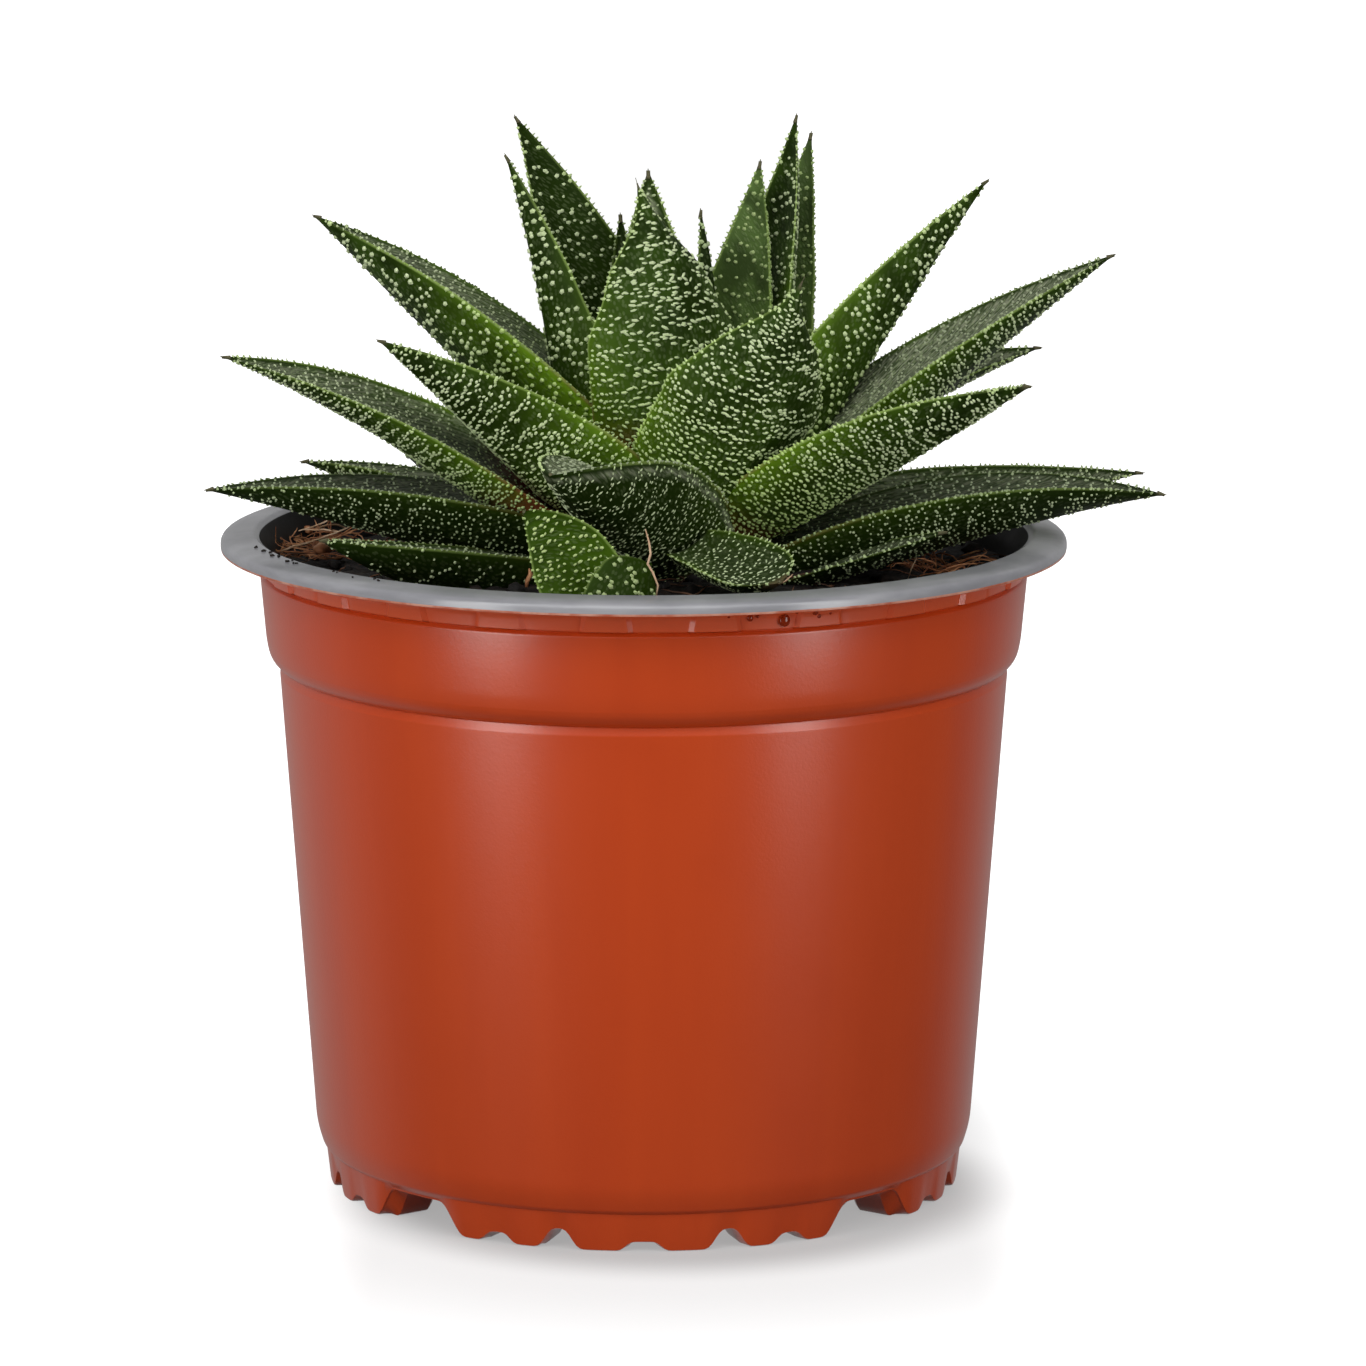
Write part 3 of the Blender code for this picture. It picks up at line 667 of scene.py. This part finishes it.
def wart_rows(row, grid, pattern, over, random):
    """Wavy rows of warts across one face, broken by gaps. Yields ring, millimetres round,
    half length across, half length along and height."""
    length = row["length"]
    rings = np.arange(ALONG_STEPS)
    place = pattern["along"] * 0.7
    while place < length * 0.965:
        k = int(np.interp(place / length, grid["along"], rings))
        start, end = (0, grid["right"][k]) if over else (grid["right"][k], grid["whole"][k])
        reach = end - start
        mirrored = random.random() < 0.5
        bare = 0.5 if over else min(BARE_BAND, reach * 0.12)
        arc = start + bare + random.random() * pattern["across"] * 0.5
        while arc < end - bare:
            cluster = noise.noise(Vector((place * 0.30 + length, arc * 0.28, row["width"])))
            step = pattern["across"] * (0.70 + 0.5 * random.random())
            if random.random() > pattern["gaps"] - cluster * 0.6:
                inner = min(arc - start, end - arc) / (reach / 2)
                longer = (pattern["dash"] - 1) * (0.3 + 0.7 * random.random())
                dash = 1 + longer * min(1.0, 0.3 + 1.4 * inner)
                size = pattern["size"] * (0.74 + 0.5 * random.random())
                wave = 1.5 * noise.noise(Vector((arc * 0.16, place * 0.09, length)))
                here = place + wave + random.normal(0, 0.27) * pattern["along"]
                ring = float(np.interp(here / length, grid["along"], rings))
                spot = start + end - arc if mirrored else arc
                if spot < (grid["right"] if over else grid["whole"])[int(ring)] - 0.1:
                    yield ring, spot, size * dash**0.85, size / dash**0.3, size * 0.62
                step += size * (dash - 1) * 0.8
            arc += step
        place += pattern["along"] * (0.88 + 0.24 * random.random())


def margin_teeth(row, grid, random):
    """Small teeth along both margins, as wart_rows gives warts."""
    rings = np.arange(ALONG_STEPS)
    for side in (0, 1):
        place = 1.5
        while place < row["length"] * 0.97:
            ring = float(np.interp(place / row["length"], grid["along"], rings))
            arc = grid["right"][int(ring)] if side else 0.02
            size = 0.19 + 0.11 * random.random()
            yield ring, arc, size, size * 1.3, 0.20 + 0.24 * random.random()
            place += TOOTH_PITCH * (0.6 + 0.8 * random.random())


class Growth:
    """Points, faces and what the skin reads at each point, gathered for one leaf."""

    def __init__(self):
        self.points, self.faces, self.place, self.grain, self.side = [], [], [], [], []
        self.count = 0

    def add(self, points, faces, place, grain, side):
        self.faces += [tuple(self.count + k for k in face) for face in faces]
        self.points.append(points)
        for rows, values in ((self.place, place), (self.grain, grain), (self.side, side)):
            rows.append(np.broadcast_to(np.asarray(values, float), (len(points), 3)))
        self.count += len(points)


def add_skin(growth, row, grid):
    around = UPPER_STEPS + UNDER_STEPS
    along = np.repeat(grid["along"], around)
    length = row["length"]
    upper = np.tile(np.arange(around) < UPPER_STEPS, ALONG_STEPS).astype(float)
    middle = (grid["right"] + grid["whole"]) / 2
    offset = (grid["arc"] - middle[:, None]).ravel()
    place = np.stack([along, grid["margin"].ravel(), (1 - along) * length], -1)
    grain = np.stack([along * length, offset, np.full(offset.size, row["heading"])], -1)
    edge = 1 - smooth_step(0.9, 2.4, grid["margin"].ravel())
    # How far each point greys, as rough texture and as a painted sheen
    greying_and_sheen = upper * row["frost"] + (1 - upper) * row["hoar"] * edge
    side = np.stack([greying_and_sheen, 0 * upper + row["tipped"], 0 * upper + row["scar"]], -1)
    base, tip = ends(ALONG_STEPS * around, around)
    faces = [base] + bands(ALONG_STEPS, around) + [tip]
    growth.add(grid["points"].reshape(-1, 3), faces, place, grain, side)


def add_spine(growth, row):
    """The leaf's hard tip, drawn out to a hair on some leaves."""
    sides, steps = 8, 7
    line = midline(row, np.array([1.0]))[0]
    forward, across, out = (way[0] for way in directions(row, np.array([1.0])))
    points = []
    for k in range(steps):
        share = k / (steps - 1)
        centre = line + forward * row["spine"] * (share * 1.2 - 1.0)
        radius = max(0.05, 1.15 * TIP_RADIUS * (1 - row["drawn"]) * (1 - share) ** 0.8)
        for j in range(sides):
            turn = math.tau * j / sides
            points.append(centre + radius * (across * math.cos(turn) + out * math.sin(turn)))
    faces = ends(len(points), sides) + bands(steps, sides)
    growth.add(np.array(points), faces, (1, 1, 0), (row["length"], 0, 0), (0, 1, 0))


def leaf_mesh(row, skins):
    """One leaf: its lofted skin, and its warts and teeth as a second material."""
    random = np.random.default_rng(SEED + sum(ord(letter) for letter in row["name"]))
    grid = leaf_grid(row, random)
    growth = Growth()
    add_skin(growth, row, grid)
    add_spine(growth, row)
    skin_faces = len(growth.faces)
    studs = [(stud, WART) for stud in wart_rows(row, grid, row["over"], True, random)]
    studs += [(stud, WART) for stud in wart_rows(row, grid, row["under"], False, random)]
    studs += [(stud, TOOTH) for stud in margin_teeth(row, grid, random)]
    for (ring, arc, wide, long, high), (template, faces) in studs:
        spot, normal, level = at_place(grid, ring, arc)
        onward = np.cross(normal, level)
        slant = random.normal(0, 0.3)
        first = level * math.cos(slant) + onward * math.sin(slant)
        second = np.cross(normal, first)
        body = (spot + template[:, :1] * wide * first + template[:, 1:2] * long * second
                + template[:, 2:] * high * normal)
        k = int(ring)
        share = float(np.interp(ring, np.arange(ALONG_STEPS), grid["along"]))
        right, whole = grid["right"][k], grid["whole"][k]
        margin = min(arc, abs(arc - right), whole - arc)
        growth.add(body, faces, (share, margin, (1 - share) * row["length"]),
                   (share * row["length"], arc, row["heading"]),
                   (row["frost"] if arc < right else 0.0, row["tipped"], row["scar"]))
    slots = np.zeros(len(growth.faces), np.int32)
    slots[skin_faces:] = 1
    made = mesh_piece(row["name"] + "_grown", np.vstack(growth.points), growth.faces, skins, slots)
    tone = np.tile([row["glow"], row["rust"], row["shadow"]], (growth.count, 1))
    layers = dict(leaf_place=np.vstack(growth.place), leaf_grain=np.vstack(growth.grain),
                  leaf_side=np.vstack(growth.side), leaf_tone=tone)
    for name, values in layers.items():
        layer = made.data.attributes.new(name, "FLOAT_VECTOR", "POINT")
        layer.data.foreach_set("vector", values.astype(np.float32).ravel())
    return join_root(made, row["slot"], row["name"])


# Pot

def notch_height(degrees, width=1.0):
    """How high the foot ring's edge stands above the surface at each angle, rounded off."""
    height = np.zeros_like(degrees)
    for side, low, high, top in FOOT_NOTCHES:
        for middle in (start + turn for start in range(-90, 270, 90) for turn in (-side, side)):
            away = np.abs((degrees - middle + 180) % 360 - 180) / width
            height = np.maximum(height, top * np.clip((low - away) / (low - high), 0, 1))
    for _ in range(2):
        height = (np.roll(height, 1) + 2 * height + np.roll(height, -1)) / 4
    return height


def pad_stations(level):
    """Each corner's angle round the neck and its share of a pad's height. The corners
    gather at the pads' sides, which slant in towards the top and rise from a fine groove."""
    pitch = 360 / PAD_COUNT
    half = PAD_HALF_LOW + (PAD_HALF_HIGH - PAD_HALF_LOW) * level
    quarter = PAD_STATIONS // 4
    stops = [0, quarter, quarter + 1, 3 * quarter - 1, 3 * quarter, PAD_STATIONS]
    low, high = half - PAD_SIDE, half + PAD_SIDE
    angles = [-pitch / 2, -high, -low, low, high, pitch / 2]
    within = np.arange(PAD_STATIONS)
    one = np.interp(within, stops, angles)
    raised = ((within > quarter) & (within < 3 * quarter)).astype(float)
    raised[[quarter, 3 * quarter]] = -0.35
    middles = PAD_PHASE - 90 + pitch * np.arange(PAD_COUNT)
    return (middles[:, None] + one).ravel(), np.tile(raised, PAD_COUNT)


def rounded(corners):
    """A profile with each corner cut into an arc. A corner is radius, height and the
    rounding's reach."""
    made = []
    for k, (radius, z, reach) in enumerate(corners):
        here = np.array([radius, z])
        if reach == 0 or k in (0, len(corners) - 1):
            made.append(here)
            continue
        before, after = (np.array(corners[k + step][:2]) for step in (-1, 1))
        start = here + (before - here) / np.linalg.norm(before - here) * reach
        end = here + (after - here) / np.linalg.norm(after - here) * reach
        for share in np.linspace(0, 1, 5):
            made.append((1 - share) ** 2 * start + 2 * share * (1 - share) * here + share**2 * end)
    return made


def pot_rows():
    """Rows of the pot's skin from the foot's inner edge out, up the outside, over the rim and
    down the inside, each as radius, height and the kind of row."""
    lip = RIM_RADIUS - 5.0
    outside = rounded([
        (FOOT_RADIUS + 0.6, FOOT_TOP_Z, 0),
        (46.2, FOOT_TOP_Z + 0.5, 0.3),
        (47.0, 8.5, 1.6),
        (51.74, 73.7, 0.15),
        (51.38, 74.85, 0.1),
        (51.95, 75.15, 0.2),
        (53.1, 76.3, 1.0),
        (53.6, 78.4, 1.2),
        (54.45, LEDGE_Z - 0.4, 0.25),
        (53.9, LEDGE_Z + 0.1, 0),
    ])
    lift = rounded([
        (53.95, LEDGE_Z + 0.14, 0),
        (54.15, LEDGE_Z + 0.3, 0),
        (54.35, NECK_TOP_Z - 1.1, 0.5),
        (55.5, NECK_TOP_Z - 0.1, 0.4),
        (57.0, NECK_TOP_Z - 0.03, 0),
    ])
    under_rim = [(57.5, NECK_TOP_Z), (RIM_RADIUS - 0.3, NECK_TOP_Z + 0.1)]
    rim_edge = [(RIM_RADIUS - 0.05, NECK_TOP_Z + 0.22), (RIM_RADIUS, NECK_TOP_Z + 0.5)]
    over_rim = rounded([
        (RIM_RADIUS, NECK_TOP_Z + 0.52, 0),
        (RIM_RADIUS, POT_HEIGHT - 0.75, 0.7),
        (RIM_RADIUS - 1.6, POT_HEIGHT - 0.25, 0.8),
        (lip + 0.3, POT_HEIGHT, 0.35),
        (lip - 0.45, POT_HEIGHT - 0.5, 0),
    ])
    inside = rounded([
        (lip - 0.5, POT_HEIGHT - 0.6, 0),
        (53.2, 90.0, 0.8),
        (50.6, 73.0, 0.8),
        (45.2, FLOOR_Z + 1.6, 0.8),
        (44.0, FLOOR_Z, 0.6),
        (0.4, FLOOR_Z, 0),
    ])
    rows = [(radius, z, "orange") for radius, z in outside]
    rows += [(radius, z, "neck") for radius, z in lift]
    rows += [(radius, z, "orange") for radius, z in under_rim]
    rows += [(radius, z, "edge") for radius, z in rim_edge]
    rows += [(radius, z, "grey") for radius, z in over_rim]
    rows += [(radius, z, "inside") for radius, z in inside]
    return rows


def make_pot(finishes):
    """The pot as one skin. The foot ring's edge follows its notches, and the neck swells
    into pads."""
    around = PAD_COUNT * PAD_STATIONS
    even = pad_stations(0.5)[0][0] + np.arange(around) * 360 / around
    notch = notch_height(even)
    inside_notch = notch_height(even, NOTCH_INSIDE)
    rings, kinds = [], []

    def ring(radius, height, kind, degrees=even):
        turn = np.radians(degrees)
        rings.append(np.stack([radius * np.cos(turn), radius * np.sin(turn), height + 0 * turn], -1))
        kinds.append(kind)

    inner = FOOT_RADIUS - FOOT_DEPTH
    under_floor = FLOOR_Z - WALL
    for radius, height in (
            (0.4, under_floor),
            (inner - 0.4, under_floor),
            (inner, under_floor - 0.4),
            (inner, np.minimum(inside_notch + 0.5, under_floor - 0.5)),
            (inner + 0.45, inside_notch),
            (FOOT_RADIUS - FOOT_CHAMFER, inside_notch),
            (FOOT_RADIUS - 0.35, notch),
            (FOOT_RADIUS - 0.05, notch + 0.12),
            (FOOT_RADIUS + 0.02, notch + 0.4)):
        ring(radius, height, "orange")
    for radius, z, kind in pot_rows():
        if z > LEDGE_Z - 4 and kind in ("orange", "neck"):
            level = min(max((z - LEDGE_Z) / (NECK_TOP_Z - LEDGE_Z), 0.0), 1.0)
            degrees, raised = pad_stations(level)
            proud = PAD_PROUD * min(1.0, level / 0.07) if kind == "neck" else 0.0
            ring(radius + proud * raised, z, "orange", degrees)
        else:
            ring(radius, z, kind)
    names = ("orange", "edge", "grey", "inside")
    slots = []
    for kind, after in zip(kinds, kinds[1:]):
        slots += [min(names.index(kind), names.index(after))] * around
    slots += [names.index("orange"), names.index("inside")]
    faces = bands(len(rings), around) + ends(len(rings) * around, around)
    pot = mesh_piece("pot_moulding", np.vstack(rings), faces, finishes, slots)
    pot.data.set_sharp_from_angle(angle=math.radians(23))
    return join_root(pot, "pot_plastic", "pot")


# Drops of water on the neck: degrees from the front, height and width
DROPS = ((15.2, 90.2, 0.9), (16.3, 90.4, 0.5), (20.4, 89.6, 1.6), (22.0, 90.9, 0.7),
         (25.0, 90.6, 1.0), (25.7, 89.9, 0.6), (27.5, 90.2, 0.5), (12.0, 90.6, 0.5))


def make_drops(finish):
    template, shape = lump_template()
    bodies = []
    for side, z, width in DROPS:
        x, y, _ = on_circle(54.45 + max(0.0, z - NECK_TOP_Z + 1.0) + PAD_PROUD / 2, side - 90, 0)
        spin = np.array(Matrix.Rotation(math.radians(side), 3, "Z"))
        body = template * np.array([width / 2, 0.3, width * 0.55])
        bodies.append((body @ spin.T + (x, y, z), shape))
    return gathered("neck_drops", bodies, finish, "pot_plastic")


# Soil

def soil_height(x, y):
    out = math.hypot(x, y) / SOIL_RADIUS
    crumb = noise.noise(Vector((x * 0.11, y * 0.11, 0.0))) * 0.6
    lumps = noise.noise(Vector((x * 0.45, y * 0.45, 3.0))) * 0.7
    fine = noise.noise(Vector((x * 1.5, y * 1.5, 7.0))) * 0.35
    return SOIL_Z + SOIL_MOUND * (1 - out**2) + crumb + (lumps + fine) * min(1.0, (1 - out) * 8 + 0.3)


def make_soil(finish):
    rings, around = 72, 240
    points = [(0.0, 0.0, soil_height(0, 0))]
    for k in range(1, rings + 1):
        radius = SOIL_RADIUS * k / rings
        for j in range(around):
            x, y, _ = on_circle(radius, 360 * j / around, 0)
            points.append((x, y, soil_height(x, y)))
    for radius, z in ((50.2, 74.0), (44.6, 8.0)):
        points += [on_circle(radius, 360 * j / around, z) for j in range(around)]
    faces = [(0, 1 + j, 1 + (j + 1) % around) for j in range(around)]
    faces += bands(rings + 2, around, first=1, inward=True)
    faces.append(ends(len(points), around)[1][::-1])
    return join_root(mesh_piece("soil_surface", points, faces, [finish]), "soil", "soil")


def soil_spot(random, share):
    """A place on the soil, anywhere within that share of its radius."""
    radius, turn = SOIL_RADIUS * math.sqrt(random.random()) * share, random.random() * 360
    x, y, _ = on_circle(radius, turn, 0)
    return x, y, soil_height(x, y)


def lump_template():
    """The points and faces of a small ball, from which grains and drops are shaped."""
    bpy.ops.mesh.primitive_ico_sphere_add(subdivisions=2, radius=1)
    ball = bpy.context.object
    points = np.array([v.co for v in ball.data.vertices])
    faces = [tuple(face.vertices) for face in ball.data.polygons]
    bpy.data.objects.remove(ball, do_unlink=True)
    return points, faces


def scatter_lumps(name, spots, finish, random):
    """Rough grains, each with its place, size and how long it is."""
    template, shape = lump_template()
    bodies = []
    for (x, y, z), size, stretch in spots:
        bumps = np.array([noise.noise(Vector(p) * 1.7 + Vector((x, y, z))) for p in template])
        body = template * (1 + 0.55 * bumps)[:, None] * size * np.array([stretch, 1, 0.75])
        spin = np.array(Matrix.Rotation(random.random() * math.tau, 3, "Z")
                        @ Matrix.Rotation(random.normal(0, 0.4), 3, "X"))
        bodies.append((body @ spin.T + (x, y, z), shape))
    return gathered(name, bodies, finish, "soil")


def soil_crumbs(finish, random):
    spots = []
    for _ in range(CRUMBS):
        x, y, z = soil_spot(random, 0.97)
        size = 0.35 + 0.9 * random.random() ** 2
        spots.append(((x, y, z + size * 0.25), size, 1 + random.random()))
    return scatter_lumps("soil_crumbs", spots, finish, random)


def rim_specks(finish, random):
    """Grains of peat left on the rim's inner edge at the left."""
    spots = []
    for _ in range(RIM_SPECKS):
        turn = 180 + 8 + 48 * random.random()
        x, y, _ = on_circle(RIM_RADIUS - 4.3 + 1.4 * random.random(), turn, 0)
        spots.append(((x, y, POT_HEIGHT), 0.10 + 0.16 * random.random(), 1.5))
    return scatter_lumps("rim_specks", spots, finish, random)


def tube(points, radius, sides=5):
    """A thin fibre along points, tapering to both ends."""
    points = np.asarray(points, float)
    forward = np.gradient(points, axis=0)
    forward /= np.linalg.norm(forward, axis=1, keepdims=True)
    aside = np.cross(forward, (0.31, 0.17, 0.94))
    aside /= np.linalg.norm(aside, axis=1, keepdims=True)
    upward = np.cross(forward, aside)
    share = np.linspace(-1, 1, len(points))
    reach = radius * (1 - 0.65 * share**4)
    rings = []
    for k in range(sides):
        turn = 2 * math.pi * k / sides
        rings.append(points + (aside * math.cos(turn) + upward * math.sin(turn)) * reach[:, None])
    body = np.stack(rings, 1).reshape(-1, 3)
    return body, ends(len(body), sides) + bands(len(points), sides)


def fibre_piece(name, paths, finish):
    return gathered(name, [tube(path, radius) for path, radius in paths], finish, "soil")


def wandering(start, heading, climb, length, random, steps=12, bend=26):
    """A fibre's path: it sets off at a heading and a climb and bends a little at each step,
    and never sinks far into the soil."""
    path = [np.array(start, float)]
    for _ in range(steps):
        heading += random.normal(0, bend / 3)
        climb = climb * 0.85 + random.normal(0, 7)
        turn, lift = math.radians(heading), math.radians(climb)
        level = math.cos(lift)
        step = np.array([level * math.cos(turn), level * math.sin(turn), math.sin(lift)])
        spot = path[-1] + step * length / steps
        out = math.hypot(*spot[:2])
        if out > SOIL_RADIUS - 0.8:
            spot[:2] *= (SOIL_RADIUS - 0.8) / out
        spot[2] = max(spot[2], soil_height(*spot[:2]) - 0.1)
        path.append(spot)
    return path


def coir(random, start, heading, climb, length, radius, bend=26):
    """One fibre: its path and radius. The length and the radius are each a least value and
    the range above it."""
    least, more = length
    path = wandering(start, heading, climb, least + more * random.random(), random, bend=bend)
    least, more = radius
    return path, least + more * random.random()


def soil_fibres(dark, tan, pale):
    """Coir all over the soil, a tangle of it at the left and a tuft at the right, and the
    few bits that lie in the open."""
    random = np.random.default_rng(SEED + 3)
    loose, tangle, bundle, tuft = [], [], [], []
    for _ in range(LOOSE_FIBRES):
        x, y, z = soil_spot(random, 0.95)
        start = (x, y, z + 0.2)
        loose.append(coir(random, start, random.random() * 360, 12, (5, 10), (0.07, 0.09)))
    for _ in range(TANGLE_FIBRES):
        x, y = random.normal(-48.2, 2.6), random.normal(13, 7)
        if math.hypot(x, y) > SOIL_RADIUS - 1:
            continue
        start = (x, y, soil_height(x, y) + 1.2 * random.random())
        tangle.append(coir(random, start, random.random() * 360, 16, (4, 8), (0.05, 0.08), 8))
    for _ in range(BUNDLE_FIBRES):
        start = (-52 + 3 * random.random(), random.normal(12, 5), 90.0 + 1.6 * random.random())
        bundle.append(coir(random, start, random.normal(0, 40), 14, (6, 4), (0.10, 0.08), 4))
    for _ in range(TUFT_FIBRES):
        x, y = random.normal(41.5, 2.8), random.normal(-5.5, 3.2)
        start = (x, y, soil_height(x, y))
        tuft.append(coir(random, start, random.random() * 360, 32, (4, 6), (0.06, 0.09), 35))
    fibre_piece("coir_loose", loose, dark)
    fibre_piece("coir_tangle", tangle, tan)
    fibre_piece("coir_bundle", bundle, pale)
    fibre_piece("coir_tuft", tuft, tan)
    left = [(-16.4, -24.0, 88.6), (-16.2, -24.2, 90.4), (-15.7, -24.3, 91.4), (-15.9, -24.4, 92.2)]
    right = [(-14.9, -24.4, 88.8), (-14.5, -24.6, 90.2), (-14.7, -24.8, 90.7)]
    fibre_piece("leaf_scrap", [(left, 0.36), (right, 0.3)], tan)
    stalk = [(1.6, -52.0, 92.6), (1.9, -52.2, 94.6), (1.2, -52.4, 96.4), (0.5, -52.6, 97.6),
             (0.9, -52.8, 99.0), (0.7, -52.9, 100.6), (0.2, -53.0, 102.4)]
    pale_bits = [(stalk, 0.17)]
    sprigs = ((-32.4, -13.8, -1.4), (-24.5, -16.5, -0.8), (-21.5, -20.0, 1.0), (37.0, -14.0, 1.2))
    for x, y, lean in sprigs:
        low = soil_height(x, y)
        middle, top = (x + lean * 0.4, y - 0.3, low + 1.6), (x + lean, y - 0.6, low + 3.2)
        pale_bits.append(([(x, y, low), middle, top], 0.10))
    pale_bits.append(([(18.6, -41.6, 92.9), (19.5, -41.9, 93.6), (20.3, -42.0, 94.4)], 0.12))
    fibre_piece("pale_stalk", pale_bits, pale)


def wood_chips(finish, random):
    """Chips of wood in the soil, the largest beside the tangle."""
    spots = [((-45.6, 1.2, 90.8), 1.15, 2.0), ((-48.6, 20.5, 90.4), 0.7, 2.0)]
    for _ in range(WOOD_CHIPS):
        radius, turn = 36 + 16 * random.random(), random.random() * 360
        x, y, _ = on_circle(radius, turn, 0)
        size = 0.3 + 0.4 * random.random()
        spots.append(((x, y, soil_height(x, y) + size * 0.4), size, 1.6 + random.random()))
    return scatter_lumps("wood_chips", spots, finish, random)


def studio():
    """A pale floor, a surround that is bright behind the plant and dim in front of it, a
    top light and two upright soft boxes."""
    bpy.ops.mesh.primitive_plane_add(size=FLOOR_SIZE)
    floor = bpy.context.object
    floor.name = "floor"
    floor.visible_shadow = floor.visible_glossy = False
    shade = Shade("studio_floor")
    place = shade.place()
    mottle = shade.grain(place, 3.0, 2.0)
    tint = shade.mix((FLOOR_GREY,) * 3, (FLOOR_GREY * 1.02,) * 3, mottle)
    middle = tuple(to_frame(SHADE_MIDDLE).tolist())
    away = shade.node("VectorMath", {"operation": "DISTANCE"}, {0: place, 1: middle}, "Value")
    glow = FLOOR_GLOW
    for start, end, rise in SHADE_STEPS:
        glow = glow + rise * away.ramp(start, end)
    start, end, rise = SHADE_SIDES
    aside = shade.part(place, 0) - middle[0]
    glow = glow + rise * shade.node("Math", {"operation": "ABSOLUTE"}, {0: aside}).ramp(start, end)
    seen = shade.node("LightPath") * glow
    floor.data.materials.append(shade.set(
        Base_Color=tint, Roughness=0.95, Specular_IOR_Level=0.0,
        Emission_Color=seen, Emission_Strength=1.0))
    world = bpy.data.worlds.new("surround")
    world.use_nodes = True
    sky = Shade("surround", world.node_tree)
    way = sky.node("TexCoord", output="Generated")
    to_right, to_back = sky.part(way, 0), sky.part(way, 1)
    behind = (to_back - 0.3 * to_right).ramp(0.0, 0.9)
    glow = sky.mix((WORLD_FRONT,) * 3, (WORLD_BACK,) * 3, behind)
    sky.feed(world.node_tree.nodes["Background"].inputs["Color"], glow)
    bpy.context.scene.world = world
    soft_box("top_light", (-0.01, -0.42, 0.62), (0, 0, 0.10), 0.6, 0.6, TOP_LIGHT)
    for name, side, far, width, power in SOFT_BOXES:
        turn = math.radians(side)
        x, y = far * math.sin(turn), -far * math.cos(turn)
        middle = (BOX_LOW + BOX_HIGH) / 2
        soft_box(name, (x, y, middle), (0, 0, middle), width, BOX_HIGH - BOX_LOW, power)


def soft_box(name, place, aim, width, height, power):
    light = bpy.data.lights.new(name, "AREA")
    light.shape = "RECTANGLE"
    light.size, light.size_y = width, height
    light.energy = power
    made = bpy.data.objects.new(name, light)
    made.location = place
    made.rotation_euler = (Vector(aim) - Vector(place)).to_track_quat("-Z", "Y").to_euler()
    bpy.context.scene.collection.objects.link(made)


def make_camera():
    data = bpy.data.cameras.new("camera")
    data.sensor_width = SENSOR
    data.lens = LENS
    data.clip_start, data.clip_end = 0.05, 50.0
    made = bpy.data.objects.new("camera", data)
    turn = Matrix.Rotation(math.radians(-CAMERA_TURN), 4, "Z")
    tilt = Matrix.Rotation(math.radians(90 - CAMERA_DOWN), 4, "X")
    roll = Matrix.Rotation(math.radians(-CAMERA_ROLL), 4, "Z")
    made.matrix_world = Matrix.Translation(Vector(to_frame(CAMERA_PLACE))) @ turn @ tilt @ roll
    bpy.context.scene.collection.objects.link(made)
    bpy.context.scene.camera = made
    bpy.context.scene.view_settings.view_transform = "Standard"


def make_stem(finish):
    """The short stem, seen only between the lowest leaves."""
    around = 40
    rings = [(4.0, 86.0), (6.2, 88.0), (6.5, 90.0), (6.0, 93.0), (4.6, 96.0), (2.2, 97.8)]
    points = []
    for radius, z in rings:
        for j in range(around):
            swell = 1 + 0.06 * math.sin(9 * math.tau * j / around + z)
            points.append(on_circle(radius * swell, 360 * j / around, z))
    faces = ends(len(points), around) + bands(len(rings), around)
    return join_root(mesh_piece("stem_rings", points, faces, [finish]), "stem", "stem")


def main():
    make_camera()
    studio()
    finishes = {
        "leaf": [leaf_skin("leaf_skin", (0.0135, 0.0285, 0.0024), (0.17, 0.33, 0.014)),
                 wart_skin("leaf_wart", (0.66, 0.76, 0.45), (0.55, 0.74, 0.23))],
        # Painted haze: a paler, greyer copy of the leaf skin with duller warts, for the hazy,
        # translucent look of two upright leaves
        "painted_haze": [leaf_skin("painted_haze_skin", (0.042, 0.070, 0.018), (0.16, 0.30, 0.03)),
                  wart_skin("painted_haze_wart", (0.42, 0.53, 0.22), (0.36, 0.52, 0.16))],
        "pup": [leaf_skin("pup_skin", (0.028, 0.060, 0.003), (0.14, 0.28, 0.012)),
                wart_skin("pup_wart", (0.52, 0.64, 0.26), (0.48, 0.66, 0.21))],
    }
    for row in LEAVES:
        leaf_mesh(row, finishes[row["finish"]])
    make_stem(fibre("stem_skin", (0.06, 0.08, 0.03), (0.16, 0.13, 0.05)))
    make_pot([pot_orange(), pot_edge(), pot_grey(), pot_inside()])
    soil = peat()
    make_soil(soil)
    make_drops(wet_plastic())
    random = np.random.default_rng(SEED + 1)
    soil_crumbs(soil, random)
    rim_specks(soil, random)
    tan = fibre("coir_tan", (0.30, 0.10, 0.035), (0.74, 0.36, 0.17))
    wood_chips(tan, random)
    soil_fibres(fibre("coir_dark", (0.07, 0.032, 0.016), (0.20, 0.085, 0.038)), tan,
                fibre("coir_pale", (0.52, 0.30, 0.16), (0.85, 0.62, 0.42)))


main()
